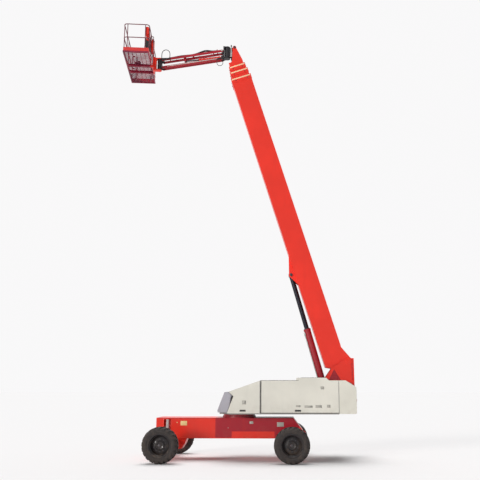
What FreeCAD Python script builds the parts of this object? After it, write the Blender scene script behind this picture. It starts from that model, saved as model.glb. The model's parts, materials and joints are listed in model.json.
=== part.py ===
"""Self-propelled telescopic boom lift with a four-section boom, a parallelogram jib and a work platform.

Millimetres.  +X is the way the boom points, +Y the machine's left, +Z up.  The origin is on the
ground, under the centre of the slewing ring.  The boom stands at BOOM_ANGLE, fully retracted.
"""
import FreeCAD, Part
import math
import os

V = FreeCAD.Vector

# ---------------------------------------------------------------- driving dimensions
RUN = 0.05              # radial clearance of a pin or shaft that turns in its hole
SEAT = 0.3              # gap between two bodies that rest on each other

# wheels
TYRE_R = 579.0
TYRE_W = 445.0
TYRE_BULGE = 40.0       # how far the sidewall stands out past the tread's shoulder radius
RIM_R = 355.0
TRACK = 1700.0          # from the centre plane to the middle of a tyre
FRONT_X = 2400.0
REAR_X = -1820.0
HUB_R = 150.0
SPINDLE_R = 70.0
KINGPIN_Y = 1360.0
KINGPIN_R = 40.0
YOKE_GAP = 185.0        # half the height between the yoke's plates
YOKE_T = 45.0
STEER_ARM = 330.0       # kingpin to tie-rod pin
STEER_Z = 640.0         # height of the tie rods

# chassis
BEAM_HALF_W = 550.0
BEAM_BOTTOM = 710.0
BEAM_TOP = 1390.0
BEAM_FRONT = 2780.0
BEAM_REAR = -1870.0
AXLE_HALF_X = 250.0
AXLE_BOTTOM = 400.0
AXLE_TOP = 690.0
AXLE_HALF_Y = 1120.0
NECK_HALF_X = 75.0
AXLE_PIVOT_Z = 545.0
AXLE_PIVOT_R = 60.0
RING_R = 575.0
RING_TOP = 1500.0
LASHING_R = 30.0        # bore of the tie-down eyes
LASHING_T = 30.0
LASHING_Z = 890.0

# turntable
DECK_BOTTOM = 1530.0
DECK_T = 70.0
SIDE_Y = 1250.0         # outer faces of the doors
CHANNEL_Y = 400.0       # clear half-width of the boom's channel
WALL_T = 30.0
DOOR_T = 35.0
SEAM = 8.0              # gap between neighbouring panels
TAIL_X = -3950.0
REAR_SEAM_X = -3365.0
MID_SEAM_X = -784.0
HOOD_Z = 2630.0
BULGE_Z = 2720.0
HINGE_R = 10.0
HINGE_EYE_R = 18.0
TOWER_Y = 330.0         # inner faces of the tower's plates
TOWER_T = 40.0

# boom
PIVOT = (-3800.0, 3280.0)
BOOM_ANGLE = 72.5
PIVOT_R = 70.0
STAGE_COUNT = 4
BASE_TOP_W = 85.0       # the boom's upper face, measured from the pivot square to the boom
BASE_BOTTOM_W = 830.0
BASE_HALF_Y = 280.0
STAGE_STEP = 35.0       # each section is this much smaller on every side
STAGE_WALL = 14.0
HEAD_U = [11330.0, 11620.0, 11860.0, 12040.0]
TAIL_U = [700.0, 760.0, 820.0, 880.0]
LIFT_EYE = (3540.0, 960.0)
LIFT_FOOT = (-3030.0, 2120.0)
LIFT_BARREL_R = 120.0
LIFT_BARREL_L = 2408.0
LIFT_ROD_R = 82.0
LIFT_PIN_R = 50.0
NOSE_PIN = (12590.0, 330.0)
NOSE_PIN_R = 30.0

# jib and platform
LEVEL_LUG = (105.0, -430.0)     # from the nose pin to the levelling cylinder's pin
LEVEL_FOOT = (11440.0, 480.0)
SWING_X = 582.0
SWING_R = 98.0
JIB_BASE_X = 780.0
JIB_TOP_Z = 15080.0
JIB_GAP = 290.0
JIB_LENGTH = 2280.0
JIB_ANGLE = -8.5
JIB_PIN_R = 22.0
JIB_FOOT_DROP = 200.0   # from the upper arm's base pin down to the jib cylinder's foot
JIB_EYE = (1450.0, -140.0)      # the rod's eye, along the upper arm and above its pins' line
LEVEL_DRIFT = 100.0     # room above the levelling rod's eye
JIB_LOW = -60.0         # the arms' lowest angle
PLATFORM_X = 3190.0             # the platform's turning axis
PLATFORM_YAW = 6.0
PLATFORM_DEPTH = 900.0
PLATFORM_WIDTH = 2440.0
PLATFORM_FLOOR_Z = 14420.0
PLATFORM_RAIL_H = 1110.0
PLATFORM_STANDOFF = 290.0       # from the turning axis to the platform's rear rail
RAIL_R = 17.0
POST_R = 15.0
GUARD_X = 188.0         # rear tubes of the guard behind the platform, from the turning axis
GUARD_Y = (310.0, 600.0)
GUARD_Z = (330.0, 1000.0)
GUARD_R = 13.0
HEAD_R = 78.0           # the platform rotator's drum

# hoses
SLEEVE_R = 34.0         # woven sleeve round the jib's hoses
SLEEVE_ROUTE = [(200, 92), (320, 92), (440, 120), (560, 162), (690, 166), (830, 134), (960, 100), (1125, 76),
                (1350, 84), (1560, 102), (1740, 98), (1880, 86), (2010, 86)]    # along the upper arm, and above its pins' line
NOSE_HOSE_R = 10.0
HEAD_HOSE_R = 13.0
HOSE_Y = 158.0          # the loose loops hang clear of the arms' outer faces
NOSE_HOSE = [(962, 14705), (962, 14605), (960, 14515), (897, 14452), (803, 14450), (739, 14515), (738, 14605),
             (738, 14705)]
HEAD_HOSE = [(3082, 14790), (3082, 14905), (3074, 15012), (3030, 15090), (2956, 15130), (2872, 15124),
             (2806, 15074), (2774, 14998), (2768, 14900), (2768, 14790)]


# ---------------------------------------------------------------- small helpers
def box(x0, x1, y0, y1, z0, z1):
    return Part.makeBox(x1 - x0, y1 - y0, z1 - z0, V(x0, y0, z0))


def rod(a, b, r):
    """A round bar between two points."""
    a, b = V(*a), V(*b)
    return Part.makeCylinder(r, (b - a).Length, a, b - a)


def tube(a, b, r, bore):
    return rod(a, b, r).cut(rod(a, b, bore))


def hose(name, points, r):
    """A hose as straight runs joined by tangent arcs, each as large as its two runs allow."""
    points = [V(*p) for p in points]
    edges, radii, start = [], [], points[0]
    for before, corner, after in zip(points, points[1:], points[2:]):
        a, b = before - corner, after - corner
        reach = 0.45 * min(a.Length, b.Length)
        a.normalize()
        b.normalize()
        half = a.getAngle(b) / 2
        radius = reach * math.tan(half)
        inward = (a + b).normalize()
        first, last = corner + a * reach, corner + b * reach
        middle = corner + inward * (reach / math.cos(half) - radius)
        edges += [Part.makeLine(start, first), Part.Arc(first, middle, last).toShape()]
        radii.append(radius)
        start = last
    edges.append(Part.makeLine(start, points[-1]))
    path = Part.Wire(edges)
    print(name, "length", round(path.Length), "smallest radius", round(min(radii)), "diameter", 2 * r)
    return path.makePipeShell([Part.Wire(Part.makeCircle(r, points[0], points[1] - points[0]))], True, False, 2)


def plate(points, y0, y1):
    """A flat plate whose outline lies in the XZ plane, from y0 to y1."""
    wire = Part.makePolygon([V(x, y0, z) for x, z in points] + [V(points[0][0], y0, points[0][1])])
    return Part.Face(wire).extrude(V(0, y1 - y0, 0))


def cross_plate(points, x0, x1):
    """The same with its outline in the YZ plane, from x0 to x1."""
    wire = Part.makePolygon([V(x0, y, z) for y, z in points] + [V(x0, points[0][0], points[0][1])])
    return Part.Face(wire).extrude(V(x1 - x0, 0, 0))


def fuse(shapes):
    shapes = list(shapes)
    result = shapes[0]
    if len(shapes) > 1:
        result = result.multiFuse(shapes[1:])
    return result.removeSplitter()


def mirrored(shape):
    return shape.mirror(V(0, 0, 0), V(0, 1, 0))


def both(shape):
    """The shape and its mirror image on the other side of the machine, as separate solids."""
    return [shape, mirrored(shape)]


def save(name, shapes):
    if not isinstance(shapes, (list, tuple)):
        shapes = [shapes]
    solids = [s for shape in shapes for s in shape.Solids]
    shape = solids[0] if len(solids) == 1 else Part.makeCompound(solids)
    if not shape.isValid():
        raise ValueError(name + " is not a valid shape")
    shape.exportStep("parts/" + name + ".step")


# ---------------------------------------------------------------- wheels and steering
def wheel_outline(points):
    """Turns a half-section, given as (radius, axial) points, about the Y axis."""
    wire = Part.makePolygon([V(r, a, 0) for r, a in points] + [V(points[0][0], points[0][1], 0)])
    return Part.Face(wire).revolve(V(0, 0, 0), V(0, 1, 0), 360)


def tyre_shape():
    """A tyre about the Y axis, centred on the origin: tread, round shoulders and sidewalls."""
    half = TYRE_W / 2
    shoulder = TYRE_R - 35
    bead = RIM_R + SEAT
    outline = [V(bead, -half + 45, 0), V(bead, half - 45, 0)]
    edges = [Part.makeLine(outline[0], outline[1])]
    wall = V(bead + 0.45 * (shoulder - bead), half + 0.0, 0)
    edges.append(Part.Arc(outline[1], wall, V(shoulder, half - 30, 0)).toShape())
    crown_a, crown_b = V(shoulder, half - 30, 0), V(shoulder, -half + 30, 0)
    edges.append(Part.Arc(crown_a, V(TYRE_R - 8, half - 55, 0), V(TYRE_R, half - 100, 0)).toShape())
    edges.append(Part.makeLine(V(TYRE_R, half - 100, 0), V(TYRE_R, -half + 100, 0)))
    edges.append(Part.Arc(V(TYRE_R, -half + 100, 0), V(TYRE_R - 8, -half + 55, 0), crown_b).toShape())
    low = V(bead + 0.45 * (shoulder - bead), -half, 0)
    edges.append(Part.Arc(crown_b, low, outline[0]).toShape())
    return Part.Face(Part.Wire(edges)).revolve(V(0, 0, 0), V(0, 1, 0), 360)


def rim_shape():
    """Rim for a left wheel: barrel, dished disc, hub and studs' ring.  +Y is outboard."""
    half = TYRE_W / 2
    t = 16.0
    well = RIM_R - 40
    disc_y = 55.0
    section = [(RIM_R, -half + 40), (RIM_R + 18, -half + 26), (RIM_R + 18, -half + 12), (RIM_R - t, -half + 12),
               (RIM_R - t, -half + 70), (well - t, -half + 110), (well - t, disc_y - 60),
               (HUB_R, disc_y - 20), (HUB_R, -20), (SPINDLE_R + RUN, -20), (SPINDLE_R + RUN, disc_y + 45),
               (HUB_R - 30, disc_y + 60), (HUB_R, disc_y + 40), (HUB_R, disc_y), (well - t, disc_y - 40),
               (well - t, half - 110), (RIM_R - t, half - 70), (RIM_R - t, half - 12), (RIM_R + 18, half - 12),
               (RIM_R + 18, half - 26), (RIM_R, half - 40), (RIM_R, half - 80), (well, half - 120),
               (well, -half + 120), (RIM_R, -half + 80)]
    return wheel_outline(section)


def place_wheel(shape, x, side):
    shape = shape if side > 0 else mirrored(shape)
    return shape.translated(V(x, side * TRACK, TYRE_R))


def knuckle_shape(direction):
    """Left knuckle: kingpin post, spindle and steering arm, which points along `direction` in X."""
    z = TYRE_R
    post = rod((0, 0, z - YOKE_GAP + 5), (0, 0, z + YOKE_GAP - 5), 80)
    pins = rod((0, 0, z - YOKE_GAP - YOKE_T), (0, 0, z + YOKE_GAP + YOKE_T), KINGPIN_R)
    reach = TRACK - KINGPIN_Y
    spindle = rod((0, 60, z), (0, reach + 95, z), SPINDLE_R)
    flange = rod((0, 60, z), (0, reach - 26, z), HUB_R - 25)
    at = direction * STEER_ARM
    z0, z1 = STEER_Z - 15, STEER_Z + 15
    arm = fuse([box(min(0, at), max(0, at), -28, 28, z0, z1), rod((at, 0, z0), (at, 0, z1), 38)])
    tip = rod((at, 0, z0 - 4), (at, 0, z1 + 4), 14)
    return fuse([post, pins, spindle, flange, arm, tip]).translated(V(0, KINGPIN_Y, 0))


def yoke(x):
    """C-shaped end of an axle, for the left side."""
    z = TYRE_R
    hole = rod((x, KINGPIN_Y, z - 400), (x, KINGPIN_Y, z + 400), KINGPIN_R + RUN)
    out = KINGPIN_Y
    upper = fuse([box(x - 75, x + 75, out - 120, out, z + YOKE_GAP, z + YOKE_GAP + YOKE_T),
                  rod((x, out, z + YOKE_GAP), (x, out, z + YOKE_GAP + YOKE_T), 75)])
    lower = fuse([box(x - 75, x + 75, out - 120, out, z - YOKE_GAP - YOKE_T, z - YOKE_GAP),
                  rod((x, out, z - YOKE_GAP - YOKE_T), (x, out, z - YOKE_GAP), 75)])
    back = plate([(x - NECK_HALF_X, z - YOKE_GAP - YOKE_T), (x + NECK_HALF_X, z - YOKE_GAP - YOKE_T),
                  (x + NECK_HALF_X, z + YOKE_GAP + YOKE_T), (x - NECK_HALF_X, z + YOKE_GAP + YOKE_T)],
                 AXLE_HALF_Y - 20, out - 95)
    return fuse([upper, lower, back]).cut(hole)


def axle_shape(x, top_z):
    """Axle box between two yokes, deeper in the middle."""
    outline = [(-AXLE_HALF_Y, AXLE_TOP - 10), (-AXLE_HALF_Y, AXLE_BOTTOM + 40), (-420, AXLE_BOTTOM), (-300, 330),
               (300, 330), (420, AXLE_BOTTOM), (AXLE_HALF_Y, AXLE_BOTTOM + 40), (AXLE_HALF_Y, AXLE_TOP - 10),
               (450, AXLE_TOP - 10), (380, top_z), (-380, top_z), (-450, AXLE_TOP - 10)]
    beam = cross_plate(outline, x - AXLE_HALF_X + 40, x + AXLE_HALF_X - 40)
    return fuse([beam] + both(yoke(x)))


def tie_rod_shape(x, direction):
    """Double-ended steering rod that slides along Y, with a clevis over each steering arm."""
    z = STEER_Z
    at = x + direction * STEER_ARM
    end = KINGPIN_Y
    parts = [rod((at, -end + 120, z), (at, end - 120, z), 24)]
    for side in (-1, 1):
        y = side * end
        y0, y1 = sorted((y, y - side * 140))
        s0, s1 = sorted((y + side * 60, y - side * 100))
        block = fuse([box(at - 34, at + 34, y0, y1, z - 42, z + 42), rod((at, y, z - 42), (at, y, z + 42), 34)])
        parts.append(block.cut(box(at - 90, at + 90, s0, s1, z - 22, z + 22)))
    return fuse(parts)


def steering_barrel(x, direction):
    """Barrel of the steering cylinder, on two feet on the axle."""
    z = STEER_Z
    at = x + direction * STEER_ARM
    x0, x1 = sorted((x + direction * (AXLE_HALF_X - 40), at))
    parts = [rod((at, -380, z), (at, 380, z), 46), rod((at, -380, z), (at, -350, z), 52),
             rod((at, 350, z), (at, 380, z), 52)]
    parts += [box(x0, x1, y - 30, y + 30, z - 30, z + 30) for y in (-300, 300)]
    return fuse(parts).cut(rod((at, -400, z), (at, 400, z), 24 + RUN))


def build_wheels():
    tyre, rim = tyre_shape(), rim_shape()
    for end, x, direction in (("front", FRONT_X, 1), ("rear", REAR_X, -1)):
        for side_name, side in (("left", 1), ("right", -1)):
            name = end + "_" + side_name
            save(name + "_tyre", place_wheel(tyre, x, side))
            save(name + "_wheel", place_wheel(rim, x, side))
            knuckle = knuckle_shape(direction).translated(V(x, 0, 0))
            save(name + "_knuckle", knuckle if side > 0 else mirrored(knuckle))
        save(end + "_tie_rod", tie_rod_shape(x, direction))
        save(end + "_steering_cylinder", steering_barrel(x, direction))


# ---------------------------------------------------------------- chassis
def build_chassis():
    outline = [(BEAM_FRONT, BEAM_TOP), (BEAM_REAR, BEAM_TOP), (BEAM_REAR - 330, 960), (BEAM_REAR - 330, 760),
               (BEAM_REAR - 260, BEAM_BOTTOM), (BEAM_FRONT - 90, BEAM_BOTTOM), (BEAM_FRONT, 800)]
    beam = plate(outline, -BEAM_HALF_W, BEAM_HALF_W)
    # recesses in the sides for the two cylinders that steady the front axle
    pocket = box(FRONT_X - 115, FRONT_X + 115, BEAM_HALF_W - 150, BEAM_HALF_W + 10, BEAM_BOTTOM - 10, 1340)
    beam = beam.cut(pocket).cut(mirrored(pocket))
    # lugs that hold the front axle's pivot pin, fore and aft of the axle
    lug_x = AXLE_HALF_X - 30
    front_lug = cross_plate([(-240, BEAM_BOTTOM + 5), (-120, AXLE_BOTTOM + 20), (120, AXLE_BOTTOM + 20),
                             (240, BEAM_BOTTOM + 5)], FRONT_X + lug_x, FRONT_X + lug_x + 45)
    rear_lug = plate([(FRONT_X - 640, BEAM_BOTTOM + 5), (FRONT_X - 560, 520), (FRONT_X - 450, 345),
                      (FRONT_X - lug_x, 330), (FRONT_X - lug_x, BEAM_BOTTOM + 5)], -240, 240)
    lugs = [front_lug, rear_lug]
    pin = rod((FRONT_X - AXLE_HALF_X - 30, 0, AXLE_PIVOT_Z), (FRONT_X + AXLE_HALF_X + 30, 0, AXLE_PIVOT_Z), AXLE_PIVOT_R)
    saddle = box(REAR_X - 180, REAR_X + 180, -380, 380, BEAM_BOTTOM - 15, BEAM_BOTTOM + 5)
    frame = fuse([beam, pin, saddle] + lugs)
    eye = rod((0, 0, LASHING_Z - 50), (0, 0, LASHING_Z + 50), LASHING_R)
    for x in (BEAM_FRONT - 5, BEAM_REAR - 330 + 5):
        toward = 1 if x > 0 else -1
        for y in (-380, 380):
            ear = box(min(x, x + toward * 95), max(x, x + toward * 95), y - 65, y + 65,
                      LASHING_Z - LASHING_T / 2, LASHING_Z + LASHING_T / 2)
            hole = eye.translated(V(x + toward * 50, y, 0))
            frame = frame.fuse(ear).cut(hole)
    save("chassis_frame", frame.removeSplitter())
    front = axle_shape(FRONT_X, AXLE_TOP - 10)
    front = front.cut(rod((FRONT_X - 400, 0, AXLE_PIVOT_Z), (FRONT_X + 400, 0, AXLE_PIVOT_Z), AXLE_PIVOT_R + RUN))
    save("front_axle", front)
    save("rear_axle", axle_shape(REAR_X, BEAM_BOTTOM - 15 - SEAT))
    y = BEAM_HALF_W - 75
    strut = fuse([rod((FRONT_X, y, 900), (FRONT_X, y, 1340 - SEAT), 58),
                  rod((FRONT_X, y, AXLE_TOP - 10 + SEAT), (FRONT_X, y, 920), 34)])
    save("oscillation_cylinders", both(strut))
    ring = fuse([rod((0, 0, BEAM_TOP), (0, 0, BEAM_TOP + 40), RING_R),
                 rod((0, 0, BEAM_TOP + 40), (0, 0, RING_TOP - SEAT), RING_R - 30)])
    save("slewing_ring", ring)


# ---------------------------------------------------------------- turntable
def nose_slope():
    """Angle in degrees at which the nose's top falls towards the front."""
    return math.degrees(math.atan2(HOOD_Z - NOSE_TOP[1], NOSE_TOP[0] - MID_SEAM_X))


NOSE_TOP = (275.0, 2262.0)      # where the hood meets the nose cap, top corner
NOSE_SIDE = (108.0, 2120.0)     # the same seam's knee on the side face
NOSE_FOOT = (306.0, 1600.0)
CAP_TOP = (420.0, 2250.0)
CAP_FOOT = (670.0, 1640.0)
DOOR_BOTTOM = 1562.0
CAP_RELIEF = 46.0               # how far the cap's side slopes in at the seam
HINGE_Y = CHANNEL_Y + WALL_T + 14


def hood_profile(drop, x_front, x_rear):
    """Outline of the main hood from the side, lowered by `drop`."""
    step_front, step_rear = -1988.0 - drop, -2960.0 + drop
    return [(x_front, DOOR_BOTTOM), (x_front, HOOD_Z - drop), (step_front, HOOD_Z - drop),
            (step_front, BULGE_Z - drop), (step_rear, BULGE_Z - drop), (step_rear - 90, HOOD_Z - drop),
            (x_rear, HOOD_Z - drop), (x_rear, DOOR_BOTTOM)]


def hinge_eyes(x0, x1, z, offset):
    """Door eyes at even places from x0 to x1 round an axis along X at height z; offset shifts the row."""
    eyes = []
    count = 4
    pitch = (x1 - x0) / count
    for i in range(count):
        a = x0 + (i + 0.5) * pitch + offset
        ring = rod((a, HINGE_Y, z), (a + 70, HINGE_Y, z), HINGE_EYE_R)
        leaf = box(a, a + 70, HINGE_Y, HINGE_Y + 40, z - 8, z + HINGE_EYE_R)
        eyes.append(ring.fuse(leaf))
    return eyes


def hinge_line(x0, x1, z):
    """The pin along a channel wall's upper edge, with the lugs that carry it."""
    parts = [rod((x0 + 16, HINGE_Y, z), (x1 - 16, HINGE_Y, z), HINGE_R)]
    count = 4
    pitch = (x1 - x0) / count
    for i in range(count):
        a = x0 + (i + 0.5) * pitch + 76
        parts.append(box(a, a + 60, CHANNEL_Y, HINGE_Y + 8, z - 60, z + 12))
    return parts


def main_door():
    """Left main door: a gull-wing shell of roof and side in one piece."""
    x0, x1 = REAR_SEAM_X + SEAM / 2, MID_SEAM_X - SEAM / 2
    inner_y = HINGE_Y + 22
    flat = [(x1, DOOR_BOTTOM), (x1, HOOD_Z), (x0, HOOD_Z), (x0, DOOR_BOTTOM)]
    shell = plate(hood_profile(0, x1, x0), inner_y + 60, SIDE_Y).fuse(plate(flat, inner_y, inner_y + 60))
    hollow = plate(hood_profile(DOOR_T, x1 + 100, x0 - 100), inner_y + 60 + DOOR_T, SIDE_Y - DOOR_T)
    low = [(x1 + 100, DOOR_BOTTOM), (x1 + 100, HOOD_Z - DOOR_T), (x0 - 100, HOOD_Z - DOOR_T), (x0 - 100, DOOR_BOTTOM)]
    shell = shell.cut(hollow.fuse(plate(low, inner_y - 100, SIDE_Y - DOOR_T)))
    floor_cut = box(x0 - 200, x1 + 200, 0, SIDE_Y + 100, DOOR_BOTTOM - 200, DOOR_BOTTOM)
    shell = shell.cut(floor_cut)
    z = HOOD_Z - HINGE_EYE_R
    shell = fuse([shell] + hinge_eyes(x0, x1, z, 0))
    return shell.cut(rod((x0 - 100, HINGE_Y, z), (x1 + 100, HINGE_Y, z), HINGE_R + RUN))


def tilt_nose(shape):
    """Takes a hinge built along X at the origin's height to the nose's sloping edge."""
    shape = shape.copy()
    shape.rotate(V(0, 0, 0), V(0, 1, 0), nose_slope())
    return shape.translated(V(MID_SEAM_X, 0, HOOD_Z))


def nose_length():
    return math.hypot(NOSE_TOP[0] - MID_SEAM_X, HOOD_Z - NOSE_TOP[1])


def nose_door():
    """Left nose door: the sloping roof and the side in front of the main door."""
    x0 = MID_SEAM_X + SEAM / 2
    inner_y = HINGE_Y + 22
    outline = [(x0, DOOR_BOTTOM), (x0, HOOD_Z), NOSE_TOP, NOSE_SIDE, NOSE_FOOT,
               (NOSE_FOOT[0] + 10, DOOR_BOTTOM)]
    t = DOOR_T
    hollow = [(x0 - 100, DOOR_BOTTOM - 50), (x0 - 100, HOOD_Z - t), (NOSE_TOP[0] + 300, NOSE_TOP[1] - 1.35 * t - 100),
              (NOSE_TOP[0] + 300, DOOR_BOTTOM - 50)]
    shell = plate(outline, inner_y, SIDE_Y).cut(plate(hollow, inner_y - 100, SIDE_Y - t))
    z = -HINGE_EYE_R
    length = nose_length()
    eyes = fuse([tilt_nose(e) for e in hinge_eyes(60, length - 160, z, 0)])
    bore = tilt_nose(rod((-100, HINGE_Y, z), (length + 100, HINGE_Y, z), HINGE_R + RUN))
    return fuse([shell, eyes]).cut(bore)


def channel_wall():
    """Left wall of the boom's channel, with the hinge lines of both doors along its top."""
    z = HOOD_Z - HINGE_EYE_R
    drop = 45.0
    outline = [(REAR_SEAM_X, DECK_BOTTOM + DECK_T), (REAR_SEAM_X, z - drop), (MID_SEAM_X, z - drop),
               (NOSE_TOP[0] - 20, NOSE_TOP[1] - HINGE_EYE_R - drop), (NOSE_TOP[0] + 15, DECK_BOTTOM + DECK_T)]
    wall = plate(outline, CHANNEL_Y, CHANNEL_Y + WALL_T)
    parts = [wall] + hinge_line(REAR_SEAM_X + SEAM / 2, MID_SEAM_X - SEAM / 2, z)
    parts += [tilt_nose(p) for p in hinge_line(60, nose_length() - 160, -HINGE_EYE_R)]
    return fuse(parts)


def cap_relief():
    """Wedge that slopes the cap's side inwards towards the seam, so the opening door's edge passes over it."""
    across = [(-80, SIDE_Y + 10), (-80, SIDE_Y - CAP_RELIEF), (0, SIDE_Y - CAP_RELIEF),
              (3.3 * CAP_RELIEF, SIDE_Y), (3.3 * CAP_RELIEF, SIDE_Y + 10)]
    points = [V(x, y, -640) for x, y in across]
    wedge = Part.Face(Part.makePolygon(points + points[:1])).extrude(V(0, 0, 800))
    lean = math.degrees(math.atan2(NOSE_SIDE[0] - NOSE_FOOT[0], NOSE_SIDE[1] - NOSE_FOOT[1]))
    wedge.rotate(V(0, 0, 0), V(0, 1, 0), lean)
    return wedge.translated(V(NOSE_SIDE[0], 0, NOSE_SIDE[1]))


def nose_cap():
    """Left grey corner cap, a moulded shell with its outer corner cut away."""
    gap = 2.4 * SEAM
    outline = [(NOSE_FOOT[0] + gap, 1585), (NOSE_FOOT[0] + gap, NOSE_FOOT[1]), (NOSE_SIDE[0] + gap, NOSE_SIDE[1]),
               (NOSE_TOP[0] + gap, NOSE_TOP[1]), CAP_TOP, CAP_FOOT, (CAP_FOOT[0] - 20, 1585)]
    plan = [(0, CHANNEL_Y + WALL_T), (0, SIDE_Y), (200, SIDE_Y), (560, SIDE_Y - 230), (760, SIDE_Y - 420),
            (760, CHANNEL_Y + WALL_T)]

    def block(outline_points, inset):
        wire = Part.makePolygon([V(x, min(y, SIDE_Y) - inset, 0) for x, y in plan] +
                                [V(plan[0][0], plan[0][1] - inset, 0)])
        column = Part.Face(wire).extrude(V(0, 0, 4000))
        return plate(outline_points, 0, SIDE_Y - inset).common(column)

    t = 30.0
    hollow = [(-100, 1500), (-100, NOSE_TOP[1] - t - 14), (CAP_TOP[0] - t, CAP_TOP[1] - t - 8),
              (CAP_FOOT[0] - t - 8, 1640), (CAP_FOOT[0] - t - 20, 1500)]
    inner = block(hollow, t).cut(box(-200, 1000, 0, CHANNEL_Y + WALL_T + t, 1000, 3000))
    return block(outline, 0).cut(inner).cut(cap_relief())


def build_turntable():
    z0, z1 = DECK_BOTTOM, DECK_BOTTOM + DECK_T
    wide = box(REAR_SEAM_X - 4, 300, -SIDE_Y + DOOR_T + 6, SIDE_Y - DOOR_T - 6, z0, z1)
    rim = box(REAR_SEAM_X - 4, 300, -SIDE_Y, SIDE_Y, z0, DOOR_BOTTOM - SEAT)
    front = box(300, 600, -860, 860, z0, 1585)
    tongue = box(TAIL_X + 10, REAR_SEAM_X + 10, -CHANNEL_Y + 5, CHANNEL_Y - 5, z0, z1)
    bearing = rod((0, 0, RING_TOP), (0, 0, z0 + 5), RING_R - 12)
    front_plate = box(250, 270, -CHANNEL_Y + 5, CHANNEL_Y - 5, z1 - 5, 1900)
    save("turntable_deck", fuse([wide, rim, front, tongue, bearing, front_plate]))
    save("channel_walls", both(channel_wall()))
    save("nose_caps", both(nose_cap()))
    weight = [(REAR_SEAM_X - 4, 1545), (REAR_SEAM_X - 4, HOOD_Z), (-3600, HOOD_Z), (TAIL_X + 20, 2425),
              (TAIL_X, 2400), (TAIL_X, 1575), (TAIL_X + 30, 1545)]
    save("counterweight", both(plate(weight, CHANNEL_Y, SIDE_Y)))
    for side_name, side in (("left", 1), ("right", -1)):
        for name, door in (("main_door", main_door()), ("nose_door", nose_door())):
            save(side_name + "_" + name, door if side > 0 else mirrored(door))
    engine = fuse([box(-2850, -1500, 560, 1120, 1750, 2480), box(-2750, -2650, 580, 1100, z1, 1760),
                   box(-1700, -1600, 580, 1100, z1, 1760)])
    save("engine_block", engine)
    tank = fuse([box(-2900, -1200, -1120, -560, 1700, 2350), box(-2800, -2700, -1100, -580, z1, 1710),
                 box(-1400, -1300, -1100, -580, z1, 1710)])
    save("hydraulic_tank", tank)
    side = [(TAIL_X - 25, z1), (TAIL_X - 25, 2600), (TAIL_X - 15, 3400), (-3735, 3405), (-3200, 3060), (-3030, 2810),
            (-2950, 2700), (-2850, 2250), (-2850, z1)]
    cheek = plate(side, TOWER_Y, TOWER_Y + TOWER_T)
    back = box(TAIL_X - 25, TAIL_X, -TOWER_Y - 5, TOWER_Y + 5, z1, 3050)
    sill = box(-3420, -3390, -TOWER_Y - 5, TOWER_Y + 5, z1, 2250)
    pivot = rod((PIVOT[0], -TOWER_Y - 70, PIVOT[1]), (PIVOT[0], TOWER_Y + 70, PIVOT[1]), PIVOT_R)
    foot = rod((LIFT_FOOT[0], -TOWER_Y - 60, LIFT_FOOT[1]), (LIFT_FOOT[0], TOWER_Y + 60, LIFT_FOOT[1]), LIFT_PIN_R)
    collars = [tube((PIVOT[0], s * (TOWER_Y + TOWER_T), PIVOT[1]), (PIVOT[0], s * (TOWER_Y + 62), PIVOT[1]), 110, 40)
               for s in (-1, 1)]
    save("boom_tower", fuse(both(cheek) + [back, sill, pivot, foot] + collars))


# ---------------------------------------------------------------- boom
def raise_boom(shape):
    """Takes a shape from the boom's own frame (X along it, Z up, pivot at the origin) to its place."""
    shape = shape.copy()
    shape.rotate(V(0, 0, 0), V(0, 1, 0), -BOOM_ANGLE)
    return shape.translated(V(PIVOT[0], 0, PIVOT[1]))


def boom_point(u, w):
    a = math.radians(BOOM_ANGLE)
    return (PIVOT[0] + u * math.cos(a) + w * math.sin(a), PIVOT[1] + u * math.sin(a) - w * math.cos(a))


def side_plate(points, y0, y1):
    """A plate in the boom's own frame from (distance along, distance below) points."""
    return plate([(u, -w) for u, w in points], y0, y1)


def stage_size(k):
    return BASE_TOP_W + k * STAGE_STEP, BASE_BOTTOM_W - k * STAGE_STEP, BASE_HALF_Y - k * STAGE_STEP


def section(k, u0, u1, grow=0.0):
    """Solid of section k's outside (or, with a negative `grow`, its inside) between two stations."""
    top, bottom, half = stage_size(k)
    return box(u0, u1, -half - grow, half + grow, -bottom - grow, -top + grow)


def pads(k, u0, length, outward):
    """Wear pads on all four faces: on the outside of section k's tail, or inside section k's head."""
    top, bottom, half = stage_size(k)
    gap = STAGE_STEP - STAGE_WALL - SEAT
    u1 = u0 + length
    edge = 70.0
    if outward:
        return [box(u0, u1, -half + edge, half - edge, -top - 2, -top + gap),
                box(u0, u1, -half + edge, half - edge, -bottom - gap, -bottom + 2),
                box(u0, u1, half - 2, half + gap, -bottom + edge, -top - edge),
                box(u0, u1, -half - gap, -half + 2, -bottom + edge, -top - edge)]
    w = STAGE_WALL
    return [box(u0, u1, -half + edge, half - edge, -top - w - gap, -top - w + 2),
            box(u0, u1, -half + edge, half - edge, -bottom + w - 2, -bottom + w + gap),
            box(u0, u1, half - w - gap, half - w + 2, -bottom + edge, -top - edge),
            box(u0, u1, -half + w - 2, -half + w + gap, -bottom + edge, -top - edge)]


def stage_shape(k):
    """A hollow box section with a collar at its head and wear pads at both ends."""
    u0, u1 = TAIL_U[k], HEAD_U[k]
    parts = [section(k, u0, u1)]
    if k < STAGE_COUNT - 1:
        parts.append(section(k, u1 - 180, u1, 12))
    body = fuse(parts).cut(section(k, u0 - 10, u1 + 10, -STAGE_WALL))
    extra = []
    if k > 0:
        extra += pads(k, u0 + 20, 160, True)
    if k < STAGE_COUNT - 1:
        extra += pads(k, u1 - 170, 160, False)
    return fuse([body] + extra)


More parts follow.
